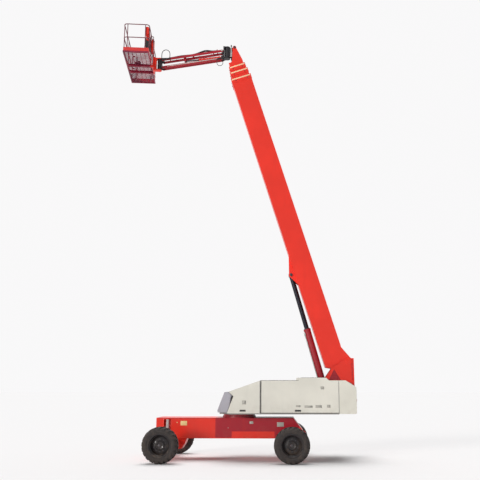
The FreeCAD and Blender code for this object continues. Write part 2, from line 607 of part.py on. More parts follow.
def base_shape():
    body = stage_shape(0)
    half = BASE_HALF_Y
    ahead = TAIL_U[0] + 20
    outline = [(ahead, BASE_TOP_W), (560, BASE_TOP_W + 5), (110, -102), (-150, 10), (-60, 600), (60, BASE_BOTTOM_W),
               (ahead, BASE_BOTTOM_W)]
    cheek = side_plate(outline, half - 40, half)
    hub = rod((0, half - 40, 0), (0, TOWER_Y - 6, 0), 150)
    closing = box(640, 710, -half + 5, half - 5, -BASE_BOTTOM_W + 5, -BASE_TOP_W - 5)
    floor_plate = box(60, 710, -half + 5, half - 5, -BASE_BOTTOM_W, -BASE_BOTTOM_W + 30)
    eye_u, eye_w = LIFT_EYE
    ear = side_plate([(eye_u + 720, BASE_BOTTOM_W - 4), (eye_u + 60, eye_w + 62), (eye_u - 70, eye_w + 55),
                      (eye_u - 420, BASE_BOTTOM_W - 4)], 115, 150)
    ear = ear.fuse(rod((eye_u, 115, -eye_w), (eye_u, 150, -eye_w), 88))
    boss = rod((eye_u, 115, -eye_w), (eye_u, 175, -eye_w), LIFT_PIN_R + 8)
    parts = [body] + both(cheek) + both(hub) + [closing, floor_plate] + both(ear) + both(boss)
    shape = fuse(parts)
    return shape.cut(rod((0, -TOWER_Y, 0), (0, TOWER_Y, 0), PIVOT_R + RUN))


def tip_shape():
    """Innermost section with its tapered nose, nose pin and the levelling cylinder's foot pin."""
    k = STAGE_COUNT - 1
    top, bottom, half = stage_size(k)
    body = stage_shape(k)
    nose = side_plate([(HEAD_U[k] - 60, top + 2), (HEAD_U[k], top + 2), (NOSE_PIN[0] + 60, NOSE_PIN[1] - 40),
                       (NOSE_PIN[0] + 68, NOSE_PIN[1] + 15), (NOSE_PIN[0] + 20, NOSE_PIN[1] + 66),
                       (HEAD_U[k] + 40, 585), (HEAD_U[k] - 60, bottom - 2)], half - 26, half)
    disc = rod((NOSE_PIN[0], half - 26, -NOSE_PIN[1]), (NOSE_PIN[0], half, -NOSE_PIN[1]), 66)
    pin = rod((NOSE_PIN[0], -half - 12, -NOSE_PIN[1]), (NOSE_PIN[0], half + 12, -NOSE_PIN[1]), NOSE_PIN_R)
    foot = rod((LEVEL_FOOT[0], -half + 2, -LEVEL_FOOT[1]), (LEVEL_FOOT[0], half - 2, -LEVEL_FOOT[1]), 20)
    return fuse([body] + both(nose) + both(disc) + [pin, foot])


def build_boom():
    save("boom_base", raise_boom(base_shape()))
    save("boom_section_two", raise_boom(stage_shape(1)))
    save("boom_section_three", raise_boom(stage_shape(2)))
    save("boom_tip", raise_boom(tip_shape()))


def cylinder(foot, eye, barrel_r, barrel_l, rod_r, pin_r, width, eye_r, retract):
    """A hydraulic cylinder between two points in the XZ plane: (barrel, rod).

    The barrel turns on a pin at `foot`; the rod ends in a round eye about `eye` and can still
    go in by `retract`."""
    (x0, z0), (x1, z1) = foot, eye
    length = math.hypot(x1 - x0, z1 - z0)
    barrel = fuse([rod((0, -width, 0), (0, width, 0), eye_r),
                   rod((0, 0, 0), (barrel_l - 60, 0, 0), barrel_r),
                   rod((barrel_l - 60, 0, 0), (barrel_l, 0, 0), barrel_r + 8)])
    bore = rod((eye_r + 40, 0, 0), (barrel_l + 10, 0, 0), rod_r + RUN)
    through = max(width, barrel_r) + 20
    barrel = barrel.cut(bore).cut(rod((0, -through, 0), (0, through, 0), pin_r + RUN))
    inside = eye_r + 60 + retract
    stick = fuse([rod((inside, 0, 0), (length, 0, 0), rod_r), rod((length, -width, 0), (length, width, 0), eye_r)])
    placed = []
    for shape in (barrel, stick):
        shape.rotate(V(0, 0, 0), V(0, 1, 0), -math.degrees(math.atan2(z1 - z0, x1 - x0)))
        placed.append(shape.translated(V(x0, 0, z0)))
    return placed


def distance(a, b):
    return math.hypot(b[0] - a[0], b[1] - a[1])


def build_cylinders():
    eye = boom_point(*LIFT_EYE)
    lowered = (PIVOT[0] + LIFT_EYE[0], PIVOT[1] - LIFT_EYE[1])
    retract = distance(LIFT_FOOT, eye) - distance(LIFT_FOOT, lowered)
    barrel, stick = cylinder(LIFT_FOOT, eye, LIFT_BARREL_R, LIFT_BARREL_L, LIFT_ROD_R, LIFT_PIN_R, 105, 95, retract)
    save("lift_cylinder", barrel)
    save("lift_rod", stick)
    nose = boom_point(*NOSE_PIN)
    lug = (nose[0] + LEVEL_LUG[0], nose[1] + LEVEL_LUG[1])
    barrel, stick = cylinder(boom_point(*LEVEL_FOOT), lug, 42, 700, 26, 20, 45, 50, 20)
    save("level_cylinder", barrel)
    save("level_rod", stick)
    foot = (JIB_BASE_X, JIB_TOP_Z - JIB_FOOT_DROP)
    eye = jib_eye(JIB_ANGLE)
    retract = distance(foot, eye) - distance(foot, jib_eye(JIB_LOW)) + 20
    barrel, stick = cylinder(foot, eye, 38, 900, 24, JIB_PIN_R, 44, 40, retract)
    save("jib_cylinder", barrel)
    save("jib_rod", stick)


# ---------------------------------------------------------------- levelling bracket and jib
def jib_end(z):
    a = math.radians(JIB_ANGLE)
    return (JIB_BASE_X + JIB_LENGTH * math.cos(a), z + JIB_LENGTH * math.sin(a))


def jib_eye(angle):
    """Where the upper arm holds the jib cylinder's rod when the arm stands at an angle."""
    a = math.radians(angle)
    s, h = JIB_EYE
    return (JIB_BASE_X + s * math.cos(a) - h * math.sin(a), JIB_TOP_Z + s * math.sin(a) + h * math.cos(a))


def build_level_bracket():
    nx, nz = boom_point(*NOSE_PIN)
    lug_x, lug_z = nx + LEVEL_LUG[0], nz + LEVEL_LUG[1]
    back = box(SWING_X - 175, SWING_X - 135, -140, 140, lug_z + 70, nz + 115)
    neck = fuse([rod((nx, -60, nz), (nx, 60, nz), 55), box(nx, SWING_X - 170, -60, 60, nz - 45, nz + 45)])
    clevis = []
    for s in (-1, 1):
        y0, y1 = sorted((s * 52, s * 77))
        clevis.append(plate([(lug_x - 40, lug_z - 20), (lug_x - 20, lug_z - 40), (lug_x + 30, lug_z - 35),
                             (SWING_X - 140, lug_z + 40), (SWING_X - 140, lug_z + 130),
                             (SWING_X - 175, lug_z + 130), (lug_x - 40, lug_z + 20)],
                            y0, y1))
    drum = rod((SWING_X, 0, drum_bottom()), (SWING_X, 0, drum_top()), SWING_R)
    web = box(SWING_X - 140, SWING_X, -80, 80, drum_bottom() + 20, drum_top() - 20)
    room = box(lug_x - 120, SWING_X - SWING_R - 2, -52, 52, lug_z - 60, lug_z + LEVEL_DRIFT + 56)
    shape = fuse([fuse([back, neck, drum, web]).cut(room)] + clevis)
    save("level_bracket", shape.cut(rod((nx, -200, nz), (nx, 200, nz), NOSE_PIN_R + RUN)))


def drum_bottom():
    return JIB_TOP_Z - JIB_GAP + 60


def drum_top():
    return JIB_TOP_Z + 150


def arm_place(shape, z):
    """Takes a shape from a jib arm's own frame (X along it from its base pin) to its place."""
    shape.rotate(V(0, 0, 0), V(0, 1, 0), -JIB_ANGLE)
    return shape.translated(V(JIB_BASE_X, 0, z))


def eye_lugs(y0, depth):
    """Cross plate between the upper arm's bars, with two ears below it for the rod's eye."""
    s, h = JIB_EYE
    parts = [box(s - 45, s + 45, -y0 - 2, y0 + 2, depth / 2 - 12, depth / 2)]
    outline = [(s - 45, depth / 2 - 1), (s + 45, depth / 2 - 1), (s + 40, h), (s + 20, h - 36), (s - 20, h - 36), (s - 40, h)]
    return parts + both(plate(outline, 49, 66))


def sleeve_seats(y0, depth):
    """Cross plates between the upper arm's bars: an end block at each end of the sleeve and a rest under its dip."""
    (first, first_h), (last, last_h) = SLEEVE_ROUTE[0], SLEEVE_ROUTE[-1]
    low, low_h = min(SLEEVE_ROUTE, key=lambda p: p[1])
    parts = []
    for at, h in ((first - 30, first_h), (last, last_h)):
        parts += [box(at, at + 30, -y0 - 2, y0 + 2, depth / 2 - 20, depth / 2),
                  box(at, at + 30, -SLEEVE_R - 12, SLEEVE_R + 12, depth / 2 - 20, h + SLEEVE_R + 10)]
    rest = low_h - SLEEVE_R - SEAT
    parts.append(box(low - 35, low + 35, -y0 - 2, y0 + 2, rest - 10, rest))
    return parts


def arm_shape(z, y0, y1, cross_at, cross_z, depth, extra=()):
    """Jib arm of two side bars joined by a cross tube; y0..y1 is the left bar's thickness."""
    bar = fuse([box(0, JIB_LENGTH, y0, y1, -depth / 2, depth / 2), rod((0, y0, 0), (0, y1, 0), depth / 2 + 4),
                rod((JIB_LENGTH, y0, 0), (JIB_LENGTH, y1, 0), depth / 2 + 4)])
    cross = rod((cross_at, -y1, cross_z), (cross_at, y1, cross_z), 20)
    shape = fuse(both(bar) + [cross] + list(extra))
    for at in (0, JIB_LENGTH):
        shape = shape.cut(rod((at, -200, 0), (at, 200, 0), JIB_PIN_R + RUN))
    return arm_place(shape, z)


ARM_LOW = (72.0, 97.0)
ARM_HIGH = (105.0, 130.0)
LUG = (47.0, 67.0)


def pivot_lugs(x, z, toward, y0, y1, reach):
    """Pair of lugs round a jib pin at (x, z), reaching `reach` towards +X or -X."""
    parts = []
    for s in (-1, 1):
        a, b = sorted((s * y0, s * y1))
        c, d = sorted((x, x + toward * reach))
        parts += [rod((x, a, z), (x, b, z), 40), box(c, d, a, b, z - 40, z + 40)]
    return parts


def build_jib():
    low, high = JIB_TOP_Z - JIB_GAP, JIB_TOP_Z
    x = JIB_BASE_X
    web_x = SWING_X + SWING_R + 10
    caps = [rod((SWING_X, 0, drum_top() + 5), (SWING_X, 0, drum_top() + 45), SWING_R + 5),
            rod((SWING_X, 0, drum_bottom() - 50), (SWING_X, 0, drum_bottom() - 5), SWING_R + 5),
            box(SWING_X, web_x + 30, -100, 100, drum_top() + 5, drum_top() + 45),
            box(SWING_X, web_x + 30, -100, 100, drum_bottom() - 50, drum_bottom() - 5)]
    seats = [rod((SWING_X, 0, drum_top() + SEAT), (SWING_X, 0, drum_top() + 10), 70),
             rod((SWING_X, 0, drum_bottom() - 10), (SWING_X, 0, drum_bottom() - SEAT), 70)]
    web = box(web_x, web_x + 40, -120, 120, drum_bottom() - 50, drum_top() + 45)
    lugs = pivot_lugs(x, high, -1, LUG[0], ARM_LOW[1], x - web_x - 20)
    lugs += pivot_lugs(x, low, -1, LUG[0], LUG[1], x - web_x - 20)
    foot_z = JIB_TOP_Z - JIB_FOOT_DROP
    lugs += pivot_lugs(x, foot_z, -1, LUG[0], LUG[1], x - web_x - 20)
    pins = [rod((x, -LUG[1], foot_z), (x, LUG[1], foot_z), JIB_PIN_R)]
    pins += both(rod((x, LUG[0], high), (x, ARM_HIGH[1] + 8, high), JIB_PIN_R))
    pins += both(rod((x, LUG[0], low), (x, ARM_LOW[1] + 6, low), JIB_PIN_R))
    (hx0, hz0), (hx1, hz1) = NOSE_HOSE[0], NOSE_HOSE[-1]
    guide_y = ARM_HIGH[1] + 11
    guide = [plate([(web_x + 5, low + 45), (web_x + 40, low + 45), (hx0 + 20, hz0 + 38), (hx0 + 20, hz0), (hx0 - 20, hz0),
                    (web_x + 5, low - 20)], guide_y, guide_y + 10),
             box(web_x + 5, web_x + 40, 115, guide_y + 2, low - 15, low + 40),
             box(hx0 - 20, hx0 + 20, guide_y, HOSE_Y + NOSE_HOSE_R + 5, hz0, hz0 + 30),
             box(hx1 - 20, hx1 + 20, guide_y, HOSE_Y + NOSE_HOSE_R + 5, hz1, hz1 + 65)]
    save("jib_base", fuse(caps + seats + [web] + lugs + pins + guide))
    save("nose_hose", hose("nose_hose", [(x, HOSE_Y, z) for x, z in NOSE_HOSE], NOSE_HOSE_R))
    save("jib_upper_arm", arm_shape(high, ARM_HIGH[0], ARM_HIGH[1], 0.15 * JIB_LENGTH, 24, 90,
                                    sleeve_seats(ARM_HIGH[0], 90) + eye_lugs(ARM_HIGH[0], 90)))
    save("jib_hose_sleeve", arm_place(hose("jib_hose_sleeve", [(s, 0, h) for s, h in SLEEVE_ROUTE], SLEEVE_R), high))
    save("jib_lower_arm", arm_shape(low, ARM_LOW[0], ARM_LOW[1], 0.85 * JIB_LENGTH, 0, 90))
    hx, hz = jib_end(high)
    lz = hz - JIB_GAP
    drum = rod((PLATFORM_X, 0, lz - 60), (PLATFORM_X, 0, hz + 60), HEAD_R)
    body = box(hx + 50, PLATFORM_X, -65, 65, lz - 50, hz + 50)
    head = [drum, body]
    head += pivot_lugs(hx, hz, 1, LUG[0], ARM_LOW[1], 70)
    head += [box(hx + 50, hx + 75, -ARM_LOW[1], ARM_LOW[1], hz - 40, hz + 40)]
    head += pivot_lugs(hx, lz, 1, LUG[0], LUG[1], 70)
    for s in (-1, 1):
        head.append(rod((hx, s * LUG[0], hz), (hx, s * (ARM_HIGH[1] + 8), hz), JIB_PIN_R))
    head.append(rod((hx, -ARM_LOW[1] - 6, lz), (hx, ARM_LOW[1] + 6, lz), JIB_PIN_R))
    # bar on the upper pin's left end, where both ends of the loose loop are screwed in
    foot_z = HEAD_HOSE[0][1]
    head.append(rod((hx, ARM_HIGH[1], hz), (hx, guide_y + 5, hz), JIB_PIN_R))
    head.append(plate([(HEAD_HOSE[-1][0] - 20, foot_z), (HEAD_HOSE[0][0] + 18, foot_z),
                       (HEAD_HOSE[0][0] + 18, foot_z - 30), (hx + 25, hz - 30), (hx - 25, hz - 30),
                       (HEAD_HOSE[-1][0] - 20, foot_z - 30)], guide_y, HOSE_Y + HEAD_HOSE_R + 3))
    save("jib_head", fuse(head))
    save("head_hose", hose("head_hose", [(x, HOSE_Y, z) for x, z in HEAD_HOSE], HEAD_HOSE_R))


# ---------------------------------------------------------------- platform
def turn_platform(shape):
    """Takes a shape from the platform's own frame (turning axis at the origin) to its place."""
    shape = shape.copy()
    shape.rotate(V(0, 0, 0), V(0, 0, 1), PLATFORM_YAW)
    return shape.translated(V(PLATFORM_X, 0, PLATFORM_FLOOR_Z))


def rail_loop(x0, x1, y0, y1, z, r, corner):
    """Closed tubular loop with rounded corners in a horizontal plane."""
    c = corner
    k = c * (1 - math.cos(math.radians(45)))
    runs = [((x0 + c, y0), (x1 - c, y0)), ((x1, y0 + c), (x1, y1 - c)), ((x1 - c, y1), (x0 + c, y1)),
            ((x0, y1 - c), (x0, y0 + c))]
    bends = [((x1 - c, y0), (x1 - k, y0 + k), (x1, y0 + c)), ((x1, y1 - c), (x1 - k, y1 - k), (x1 - c, y1)),
             ((x0 + c, y1), (x0 + k, y1 - k), (x0, y1 - c)), ((x0, y0 + c), (x0 + k, y0 + k), (x0 + c, y0))]
    edges = []
    for run, bend in zip(runs, bends):
        edges.append(Part.makeLine(V(*run[0], z), V(*run[1], z)))
        edges.append(Part.Arc(*[V(*p, z) for p in bend]).toShape())
    path = Part.Wire(edges)
    profile = Part.Wire(Part.makeCircle(r, V(x0 + c, y0, z), V(1, 0, 0)))
    return path.makePipeShell([profile], True, False, 2)


def build_platform():
    x0 = PLATFORM_STANDOFF
    x1 = x0 + PLATFORM_DEPTH
    y1 = PLATFORM_WIDTH / 2
    y0 = -y1
    r = RAIL_R
    top = PLATFORM_RAIL_H
    mid = 590.0
    # mount: fork round the jib head's drum, face plate and two beams under the floor
    hx, hz = jib_end(JIB_TOP_Z)
    hi = hz + 60 - PLATFORM_FLOOR_Z
    lo = hz - JIB_GAP - 60 - PLATFORM_FLOOR_Z
    face_x = x0 - r - 40
    fork = [rod((0, 0, hi + 5), (0, 0, hi + 45), HEAD_R + 10), rod((0, 0, lo - 45), (0, 0, lo - 5), HEAD_R + 10),
            rod((0, 0, hi + SEAT), (0, 0, hi + 8), 55), rod((0, 0, lo - 8), (0, 0, lo - SEAT), 55),
            box(0, face_x, -80, 80, hi + 5, hi + 45), box(0, face_x, -80, 80, lo - 45, lo - 5),
            box(face_x - 30, face_x, -110, 110, lo - 45, hi + 120)]
    sides = both(plate([(HEAD_R + 32, hi + 10), (face_x - 10, hi + 100), (face_x - 10, lo - 10), (HEAD_R + 32, lo - 10)],
                       66, 80))
    beams = [box(face_x - 10, x1 - 60, s * 260 - 30, s * 260 + 30, -60, -SEAT) for s in (-1, 1)]
    yoke_bar = box(face_x - 30, face_x, -290, 290, -60, 90)
    save("platform_mount", turn_platform(fuse(fork + sides + beams + [yoke_bar])))
    # floor: edge frame, cross members and grating bars
    frame = box(x0 - 20, x1 + 20, y0 - 20, y1 + 20, 0, 45).cut(box(x0 + 20, x1 - 20, y0 + 20, y1 - 20, -5, 50))
    bars = []
    count = 29
    for i in range(1, count):
        y = y0 + i * (y1 - y0) / count
        bars.append(box(x0 + 10, x1 - 10, y - 4, y + 4, 12, 40))
    for i in range(1, 6):
        x = x0 + i * (x1 - x0) / 6
        bars.append(box(x - 6, x + 6, y0 + 10, y1 - 10, 8, 34))
    for s in (-1, 1):
        bars.append(box(x0 + 10, x1 - 10, s * 260 - 25, s * 260 + 25, 0, 34))
    save("platform_floor", turn_platform(fuse([frame] + bars)))
    # rails: two loops, posts and toe boards, with an opening for the gate at the right-hand end
    z_floor = 45.0
    loops = [rail_loop(x0, x1, y0, y1, top, r, 110), rail_loop(x0, x1, y0, y1, mid, r, 110)]
    posts = []
    for x, y in ((x0, y0 + 130), (x0, y1 - 130), (x1, y0 + 130), (x1, y1 - 130), (x0, -310),
                 (x0, GUARD_Y[0]), (x0, GUARD_Y[1]), (x1, 0),
                 (x0 + 130, y1), (x1 - 130, y1), (x0 + 130, y0), (x1 - 130, y0)):
        posts.append(rod((x, y, z_floor), (x, y, top), POST_R))
    gate_x0, gate_x1 = x0 + 130, x1 - 130
    toe_t = 6.0
    toe_h = 190.0
    toe = box(x0 - toe_t, x1 + toe_t, y0 - toe_t, y1 + toe_t, z_floor, toe_h).cut(
        box(x0 + 0, x1 - 0, y0 + 0, y1 - 0, z_floor - 5, toe_h + 5))
    rails = fuse(loops + posts + [toe])
    way = box(gate_x0 + r + 6, gate_x1 - r - 6, y0 - 60, y0 + 60, z_floor - 10, top + 60)
    save("platform_rails", turn_platform(rails.cut(way)))
    # gate, hinged on the front post
    gx0, gx1 = gate_x0 + r + 14, gate_x1 - r - 14
    bars = [rod((gx0 + 14, y0, top - 10), (gx1 - 14, y0, top - 10), 13),
            rod((gx0 + 14, y0, mid), (gx1 - 14, y0, mid), 13),
            rod((gx0 + 14, y0, z_floor + 15), (gx0 + 14, y0, top + 6), 16),
            rod((gx1 - 14, y0, z_floor + 15), (gx1 - 14, y0, top + 6), 16),
            box(gx0 + 14, gx1 - 14, y0 - 4, y0 + 4, z_floor + 25, toe_h)]
    latch = rod((gate_x0 + POST_R + SEAT, y0, top - 90), (gx0 + 14, y0, top - 90), 9)
    hinge = [rod((gx1 - 14, y0, z), (gate_x1 - POST_R - SEAT, y0, z), 9) for z in (280.0, 880.0)]
    save("platform_gate", turn_platform(fuse(bars + [latch] + hinge)))
    # operator's console, hung inside the rear rails
    back = x0 + POST_R + SEAT
    console = plate([(back, 600), (x0 + 190, 600), (x0 + 220, 680), (x0 + 220, 900), (x0 + 165, 985), (x0 + 90, 1010),
                     (back, 985)], 150, 560)
    save("control_console", turn_platform(console))
    # guard behind the rear rails, with a covered box hung in it and another inside the near corner
    low, high = GUARD_Z
    loops = []
    for y in GUARD_Y:
        face = x0 - POST_R - SEAT
        loops.append(hose("rear_guard", [(face, y, high), (GUARD_X, y, high), (GUARD_X, y, low), (face, y, low)], GUARD_R))
    cross = [rod((GUARD_X, GUARD_Y[0], z), (GUARD_X, GUARD_Y[1], z), GUARD_R - 3) for z in (low + 85, high - 85)]
    save("rear_guard", turn_platform(fuse(loops + cross)))
    rise = GUARD_R - 3 + SEAT
    front = x0 - r - 10
    cover = plate([(GUARD_X - GUARD_R, low + 85 + rise), (front, low + 85 + rise), (front, high - 160),
                   (front - 30, high - 85 - rise), (GUARD_X - GUARD_R, high - 85 - rise)],
                  GUARD_Y[0] + GUARD_R + 10, GUARD_Y[1] - GUARD_R - 10)
    corner = plate([(back, 760), (x0 + 120, 760), (x0 + 145, 800), (x0 + 145, 1000), (x0 + 110, 1040), (back, 1040)],
                   720, y1 - r - 10)
    save("equipment_boxes", [turn_platform(cover), turn_platform(corner)])


def main():
    os.makedirs("parts", exist_ok=True)
    build_chassis()
    build_wheels()
    build_turntable()
    build_boom()
    build_cylinders()
    build_level_bracket()
    build_jib()
    build_platform()


main()
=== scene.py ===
"""Looks for a self-propelled telescopic boom lift: tyres, fittings, finishes, light and camera.

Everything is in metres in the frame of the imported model: +X is the way the boom points, +Y the
machine's left, +Z up, and the origin is on the ground under the slewing ring.
"""

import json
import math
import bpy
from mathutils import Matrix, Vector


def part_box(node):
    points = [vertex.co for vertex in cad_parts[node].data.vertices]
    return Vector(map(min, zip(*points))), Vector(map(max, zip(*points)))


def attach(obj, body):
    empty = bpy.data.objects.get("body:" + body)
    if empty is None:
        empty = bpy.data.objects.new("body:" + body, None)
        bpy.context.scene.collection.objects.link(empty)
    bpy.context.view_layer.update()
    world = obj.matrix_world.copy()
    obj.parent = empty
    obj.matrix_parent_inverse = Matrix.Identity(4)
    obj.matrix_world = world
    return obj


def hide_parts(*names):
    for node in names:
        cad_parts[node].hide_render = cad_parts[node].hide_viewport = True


bl_info = {
    "name": "Boom lift looks",
    "version": (1, 0, 0),
    "blender": (4, 5, 0),
    "location": "View3D > Sidebar > Boom lift",
    "description": "Fittings, finishes and stage for a telescopic boom lift",
    "category": "Object",
}

import bmesh
import bpy
from bpy.props import FloatProperty, FloatVectorProperty, IntProperty, PointerProperty
from mathutils import Matrix, Vector

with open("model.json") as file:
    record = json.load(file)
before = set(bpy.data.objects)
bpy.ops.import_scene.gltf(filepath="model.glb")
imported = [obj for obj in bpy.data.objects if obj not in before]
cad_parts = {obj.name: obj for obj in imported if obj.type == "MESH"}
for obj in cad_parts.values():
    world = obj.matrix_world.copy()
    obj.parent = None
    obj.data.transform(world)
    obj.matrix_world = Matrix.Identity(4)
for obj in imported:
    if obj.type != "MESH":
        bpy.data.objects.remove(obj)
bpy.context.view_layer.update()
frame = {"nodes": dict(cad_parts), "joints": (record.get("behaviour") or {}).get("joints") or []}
X, Y, Z = Vector((1, 0, 0)), Vector((0, 1, 0)), Vector((0, 0, 1))
SIDES = (("left", 1), ("right", -1))
CORNERS = [(f"{end}_{name}", side) for end in ("front", "rear") for name, side in SIDES]
JOINTS = {joint["name"]: joint for joint in frame["joints"]}

BOOM_TILT = math.radians(72.5)
BOOM_PIVOT = Vector(JOINTS["boom_lift"]["pos_m"])
BOOM_SECTIONS = (("boom_base", 11.33), ("boom_section_two", 11.62), ("boom_section_three", 11.86))  # body, its head
NOSE_PIN = (12.59, 0.33)                # along the boom, below its pivot line
LIFT_FOOT, LIFT_EYE = Vector((-3.03, 0, 2.12)), (3.54, 0.96)
JIB_TILT = math.radians(-8.5)
JIB_BASE_X, UPPER_PIN_Z, LOWER_PIN_Z = 0.78, 15.08, 14.79
JIB_FOOT, JIB_EYE = Vector((JIB_BASE_X, 0, 14.88)), (1.45, -0.14)
HOSE_Y = 0.158                          # the loose loops hang to the left of the jib
PLATFORM_AXIS = (3.19, 0, 14.42)
PLATFORM_YAW = math.radians(6.0)
AXLES_X, KINGPIN_Y, KINGPIN_TOP = (2.4, -1.82), 1.36, 0.809
TYRE_BEAD = 0.3553                      # radius where the tyre meets the rim
HOOD_TOP, SEAM_X, REAR_SEAM_X = 2.63, -0.784, -3.372
COUNTERWEIGHT_BACK = -3.95


def middle(node):
    """The middle of a part's box."""
    low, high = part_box(node)
    return (low + high) / 2


# ---------------------------------------------------------------- shader arithmetic
class Wire:
    """A shader socket that does sums: each operation on it adds a Math node."""

    def __init__(self, finish, socket):
        self.finish, self.socket = finish, socket

    def sum(self, operation, *values):
        return self.finish.node("ShaderNodeMath", {"operation": operation}, dict(enumerate(values)))

    def __add__(self, other):
        return self.sum("ADD", self, other)

    def __sub__(self, other):
        return self.sum("SUBTRACT", self, other)

    def __rsub__(self, other):
        return self.sum("SUBTRACT", other, self)

    def __mul__(self, other):
        return self.sum("MULTIPLY", self, other)

    def __truediv__(self, other):
        return self.sum("DIVIDE", self, other)

    def __gt__(self, other):
        return self.sum("GREATER_THAN", self, other)

    def __lt__(self, other):
        return self.sum("LESS_THAN", self, other)

    def __abs__(self):
        return self.sum("ABSOLUTE", self)

    __radd__, __rmul__ = __add__, __mul__

    def ramp(self, low, high, start=0.0, end=1.0):
        """Goes smoothly from start to end while the value goes from low to high."""
        sockets = {"Value": self, "From Min": low, "From Max": high, "To Min": start, "To Max": end}
        return self.finish.node("ShaderNodeMapRange", {"interpolation_type": "SMOOTHSTEP"}, sockets)


class Finish:
    """A material round one Principled shader, with nodes added by a single method."""

    def __init__(self, name):
        self.material = bpy.data.materials.new(name)
        self.material.use_nodes = True
        self.tree = self.material.node_tree
        self.tree.nodes.clear()
        self.output = self.tree.nodes.new("ShaderNodeOutputMaterial")
        self.shader = self.tree.nodes.new("ShaderNodeBsdfPrincipled")
        self.tree.links.new(self.shader.outputs[0], self.output.inputs["Surface"])
        self.place = self.node("ShaderNodeTexCoord", out="Object")

    def node(self, kind, settings=None, sockets=None, out=0):
        made = self.tree.nodes.new(kind)
        for key, value in (settings or {}).items():
            setattr(made, key, value)
        for key, value in (sockets or {}).items():
            self.put(made.inputs[key], value)
        return Wire(self, made.outputs[out])

    def put(self, socket, value):
        if isinstance(value, Wire):
            self.tree.links.new(value.socket, socket)
        elif socket.type == "RGBA":
            socket.default_value = (*value, 1) if len(value) == 3 else value
        else:
            socket.default_value = value

    def set(self, **sockets):
        for key, value in sockets.items():
            self.put(self.shader.inputs[key.replace("_", " ")], value)
        return self

    def stretched(self, scale):
        return self.node("ShaderNodeMapping", None, {"Vector": self.place, "Scale": scale})

    def noise(self, scale, detail=4.0, roughness=0.55, vector=None):
        return self.node("ShaderNodeTexNoise", None, {"Vector": vector or self.place, "Scale": scale,
                                                      "Detail": detail, "Roughness": roughness})

    def mix(self, factor, first, second):
        """Colour between two colours by a factor."""
        return self.node("ShaderNodeMix", {"data_type": "RGBA"}, {0: factor, 6: first, 7: second}, out=2)

    def along(self, axis):
        """Distance from the origin along X, Y or Z."""
        return self.node("ShaderNodeSeparateXYZ", None, {0: self.place}, out="XYZ".index(axis))

    def bump(self, *layers, rounding=0.0):
        """Normal from (height wire, distance, strength) layers, over edges rounded by a radius."""
        normal = None
        if rounding:
            normal = self.node("ShaderNodeBevel", {"samples": 3}, {"Radius": rounding})
        for height, distance, strength in layers:
            sockets = {"Height": height, "Distance": distance, "Strength": strength}
            if normal:
                sockets["Normal"] = normal
            normal = self.node("ShaderNodeBump", None, sockets)
        self.put(self.shader.inputs["Normal"], normal)
        return self


def shade(red, green, blue):
    """A colour given as 0-255 display values, as the shader wants it."""
    return tuple(c / 12.92 if c <= 0.04045 else ((c + 0.055) / 1.055) ** 2.4
                 for c in (red / 255, green / 255, blue / 255))


def darker(colour, share):
    """A colour times a share of its brightness."""
    return tuple(c * share for c in colour)


# ---------------------------------------------------------------- finishes
def paint(name, colour, gloss=0.34, dust=0.5, texture=0.06, low=0.0, high=1.6, rounding=0.006, second=None,
          where=None):
    """Sprayed enamel on steel: slight fading, streaks and road dust that thickens near the ground.

    A second colour shows where its mask, a function of the finish, is 1.
    """
    f = Finish(name)
    patches = f.noise(0.7, 3)
    streaks = f.noise(3.0, 5, 0.6, f.stretched((1.6, 1.6, 0.18)))
    specks = f.noise(60, 3, 0.7)
    body = f.mix(patches.ramp(0.35, 0.7), darker(colour, 0.93), tuple(min(1, c * 1.05) for c in colour))
    if where:
        body = f.mix(where(f), body, second)
    body = f.mix(streaks.ramp(0.52, 0.75) * 0.16, body, darker(colour, 0.72))
    near_ground = f.along("Z").ramp(low, high, 1.0, 0.0)
    veil = near_ground * f.noise(5, 5, 0.65).ramp(0.4, 0.72) * dust
    body = f.mix(veil + (specks.ramp(0.68, 0.78) * near_ground * dust * 0.6), body, shade(150, 128, 108))
    f.set(Base_Color=body, Roughness=patches.ramp(0.3, 0.7, gloss - 0.04, gloss + 0.05) + (veil * 0.3))
    f.set(Coat_Weight=0.12, Coat_Roughness=0.12, Specular_IOR_Level=0.3)
    peel = f.noise(240, 2, 0.5)
    waves = f.noise(2.2, 2, 0.4)
    return f.bump((waves, 0.01, texture), (peel, 0.0006, texture), rounding=rounding).material


def lit_and_shaded_paint(name, below, above, height, gloss=0.38):
    """Enamel in one colour below a height and another above it; on the platform the darker colour above stands for
    shade.
    """
    f = Finish(name)
    patches = f.noise(3.0, 4)
    base = f.mix(f.along("Z") > height, below, above)
    body = f.mix(patches.ramp(0.4, 0.75) * 0.3, base, darker(below, 0.55))
    f.set(Base_Color=body, Roughness=patches.ramp(0.3, 0.7, gloss - 0.06, gloss + 0.1), Coat_Weight=0.15)
    return f.bump((f.noise(240, 2), 0.0006, 0.08), rounding=0.003).material


def moulded(name, colour, gloss=0.5, grain=0.25, scale=420):
    """Moulded plastic with a fine leather-like grain."""
    f = Finish(name)
    cells = f.node("ShaderNodeTexVoronoi", {"feature": "F1"}, {"Vector": f.place, "Scale": scale})
    patches = f.noise(2.5, 4)
    body = f.mix(patches.ramp(0.35, 0.7) * 0.5, colour, darker(colour, 0.86))
    f.set(Base_Color=body, Roughness=patches.ramp(0.3, 0.7, gloss - 0.05, gloss + 0.08))
    return f.bump((cells, 0.0006, grain), rounding=0.008).material


def steel(name, colour, gloss=0.3, metal=1.0, brushed=0.0):
    """Bare or plated steel, turned or drawn, with faint oil marks."""
    f = Finish(name)
    marks = f.noise(14, 5, 0.65)
    body = f.mix(marks.ramp(0.45, 0.72) * 0.5, colour, darker(colour, 0.6))
    f.set(Base_Color=body, Metallic=metal, Roughness=marks.ramp(0.35, 0.7, gloss, gloss + 0.14))
    lines = f.noise(900, 2, 0.5)
    return f.bump((lines, 0.0003, 0.05 + brushed), rounding=0.002).material


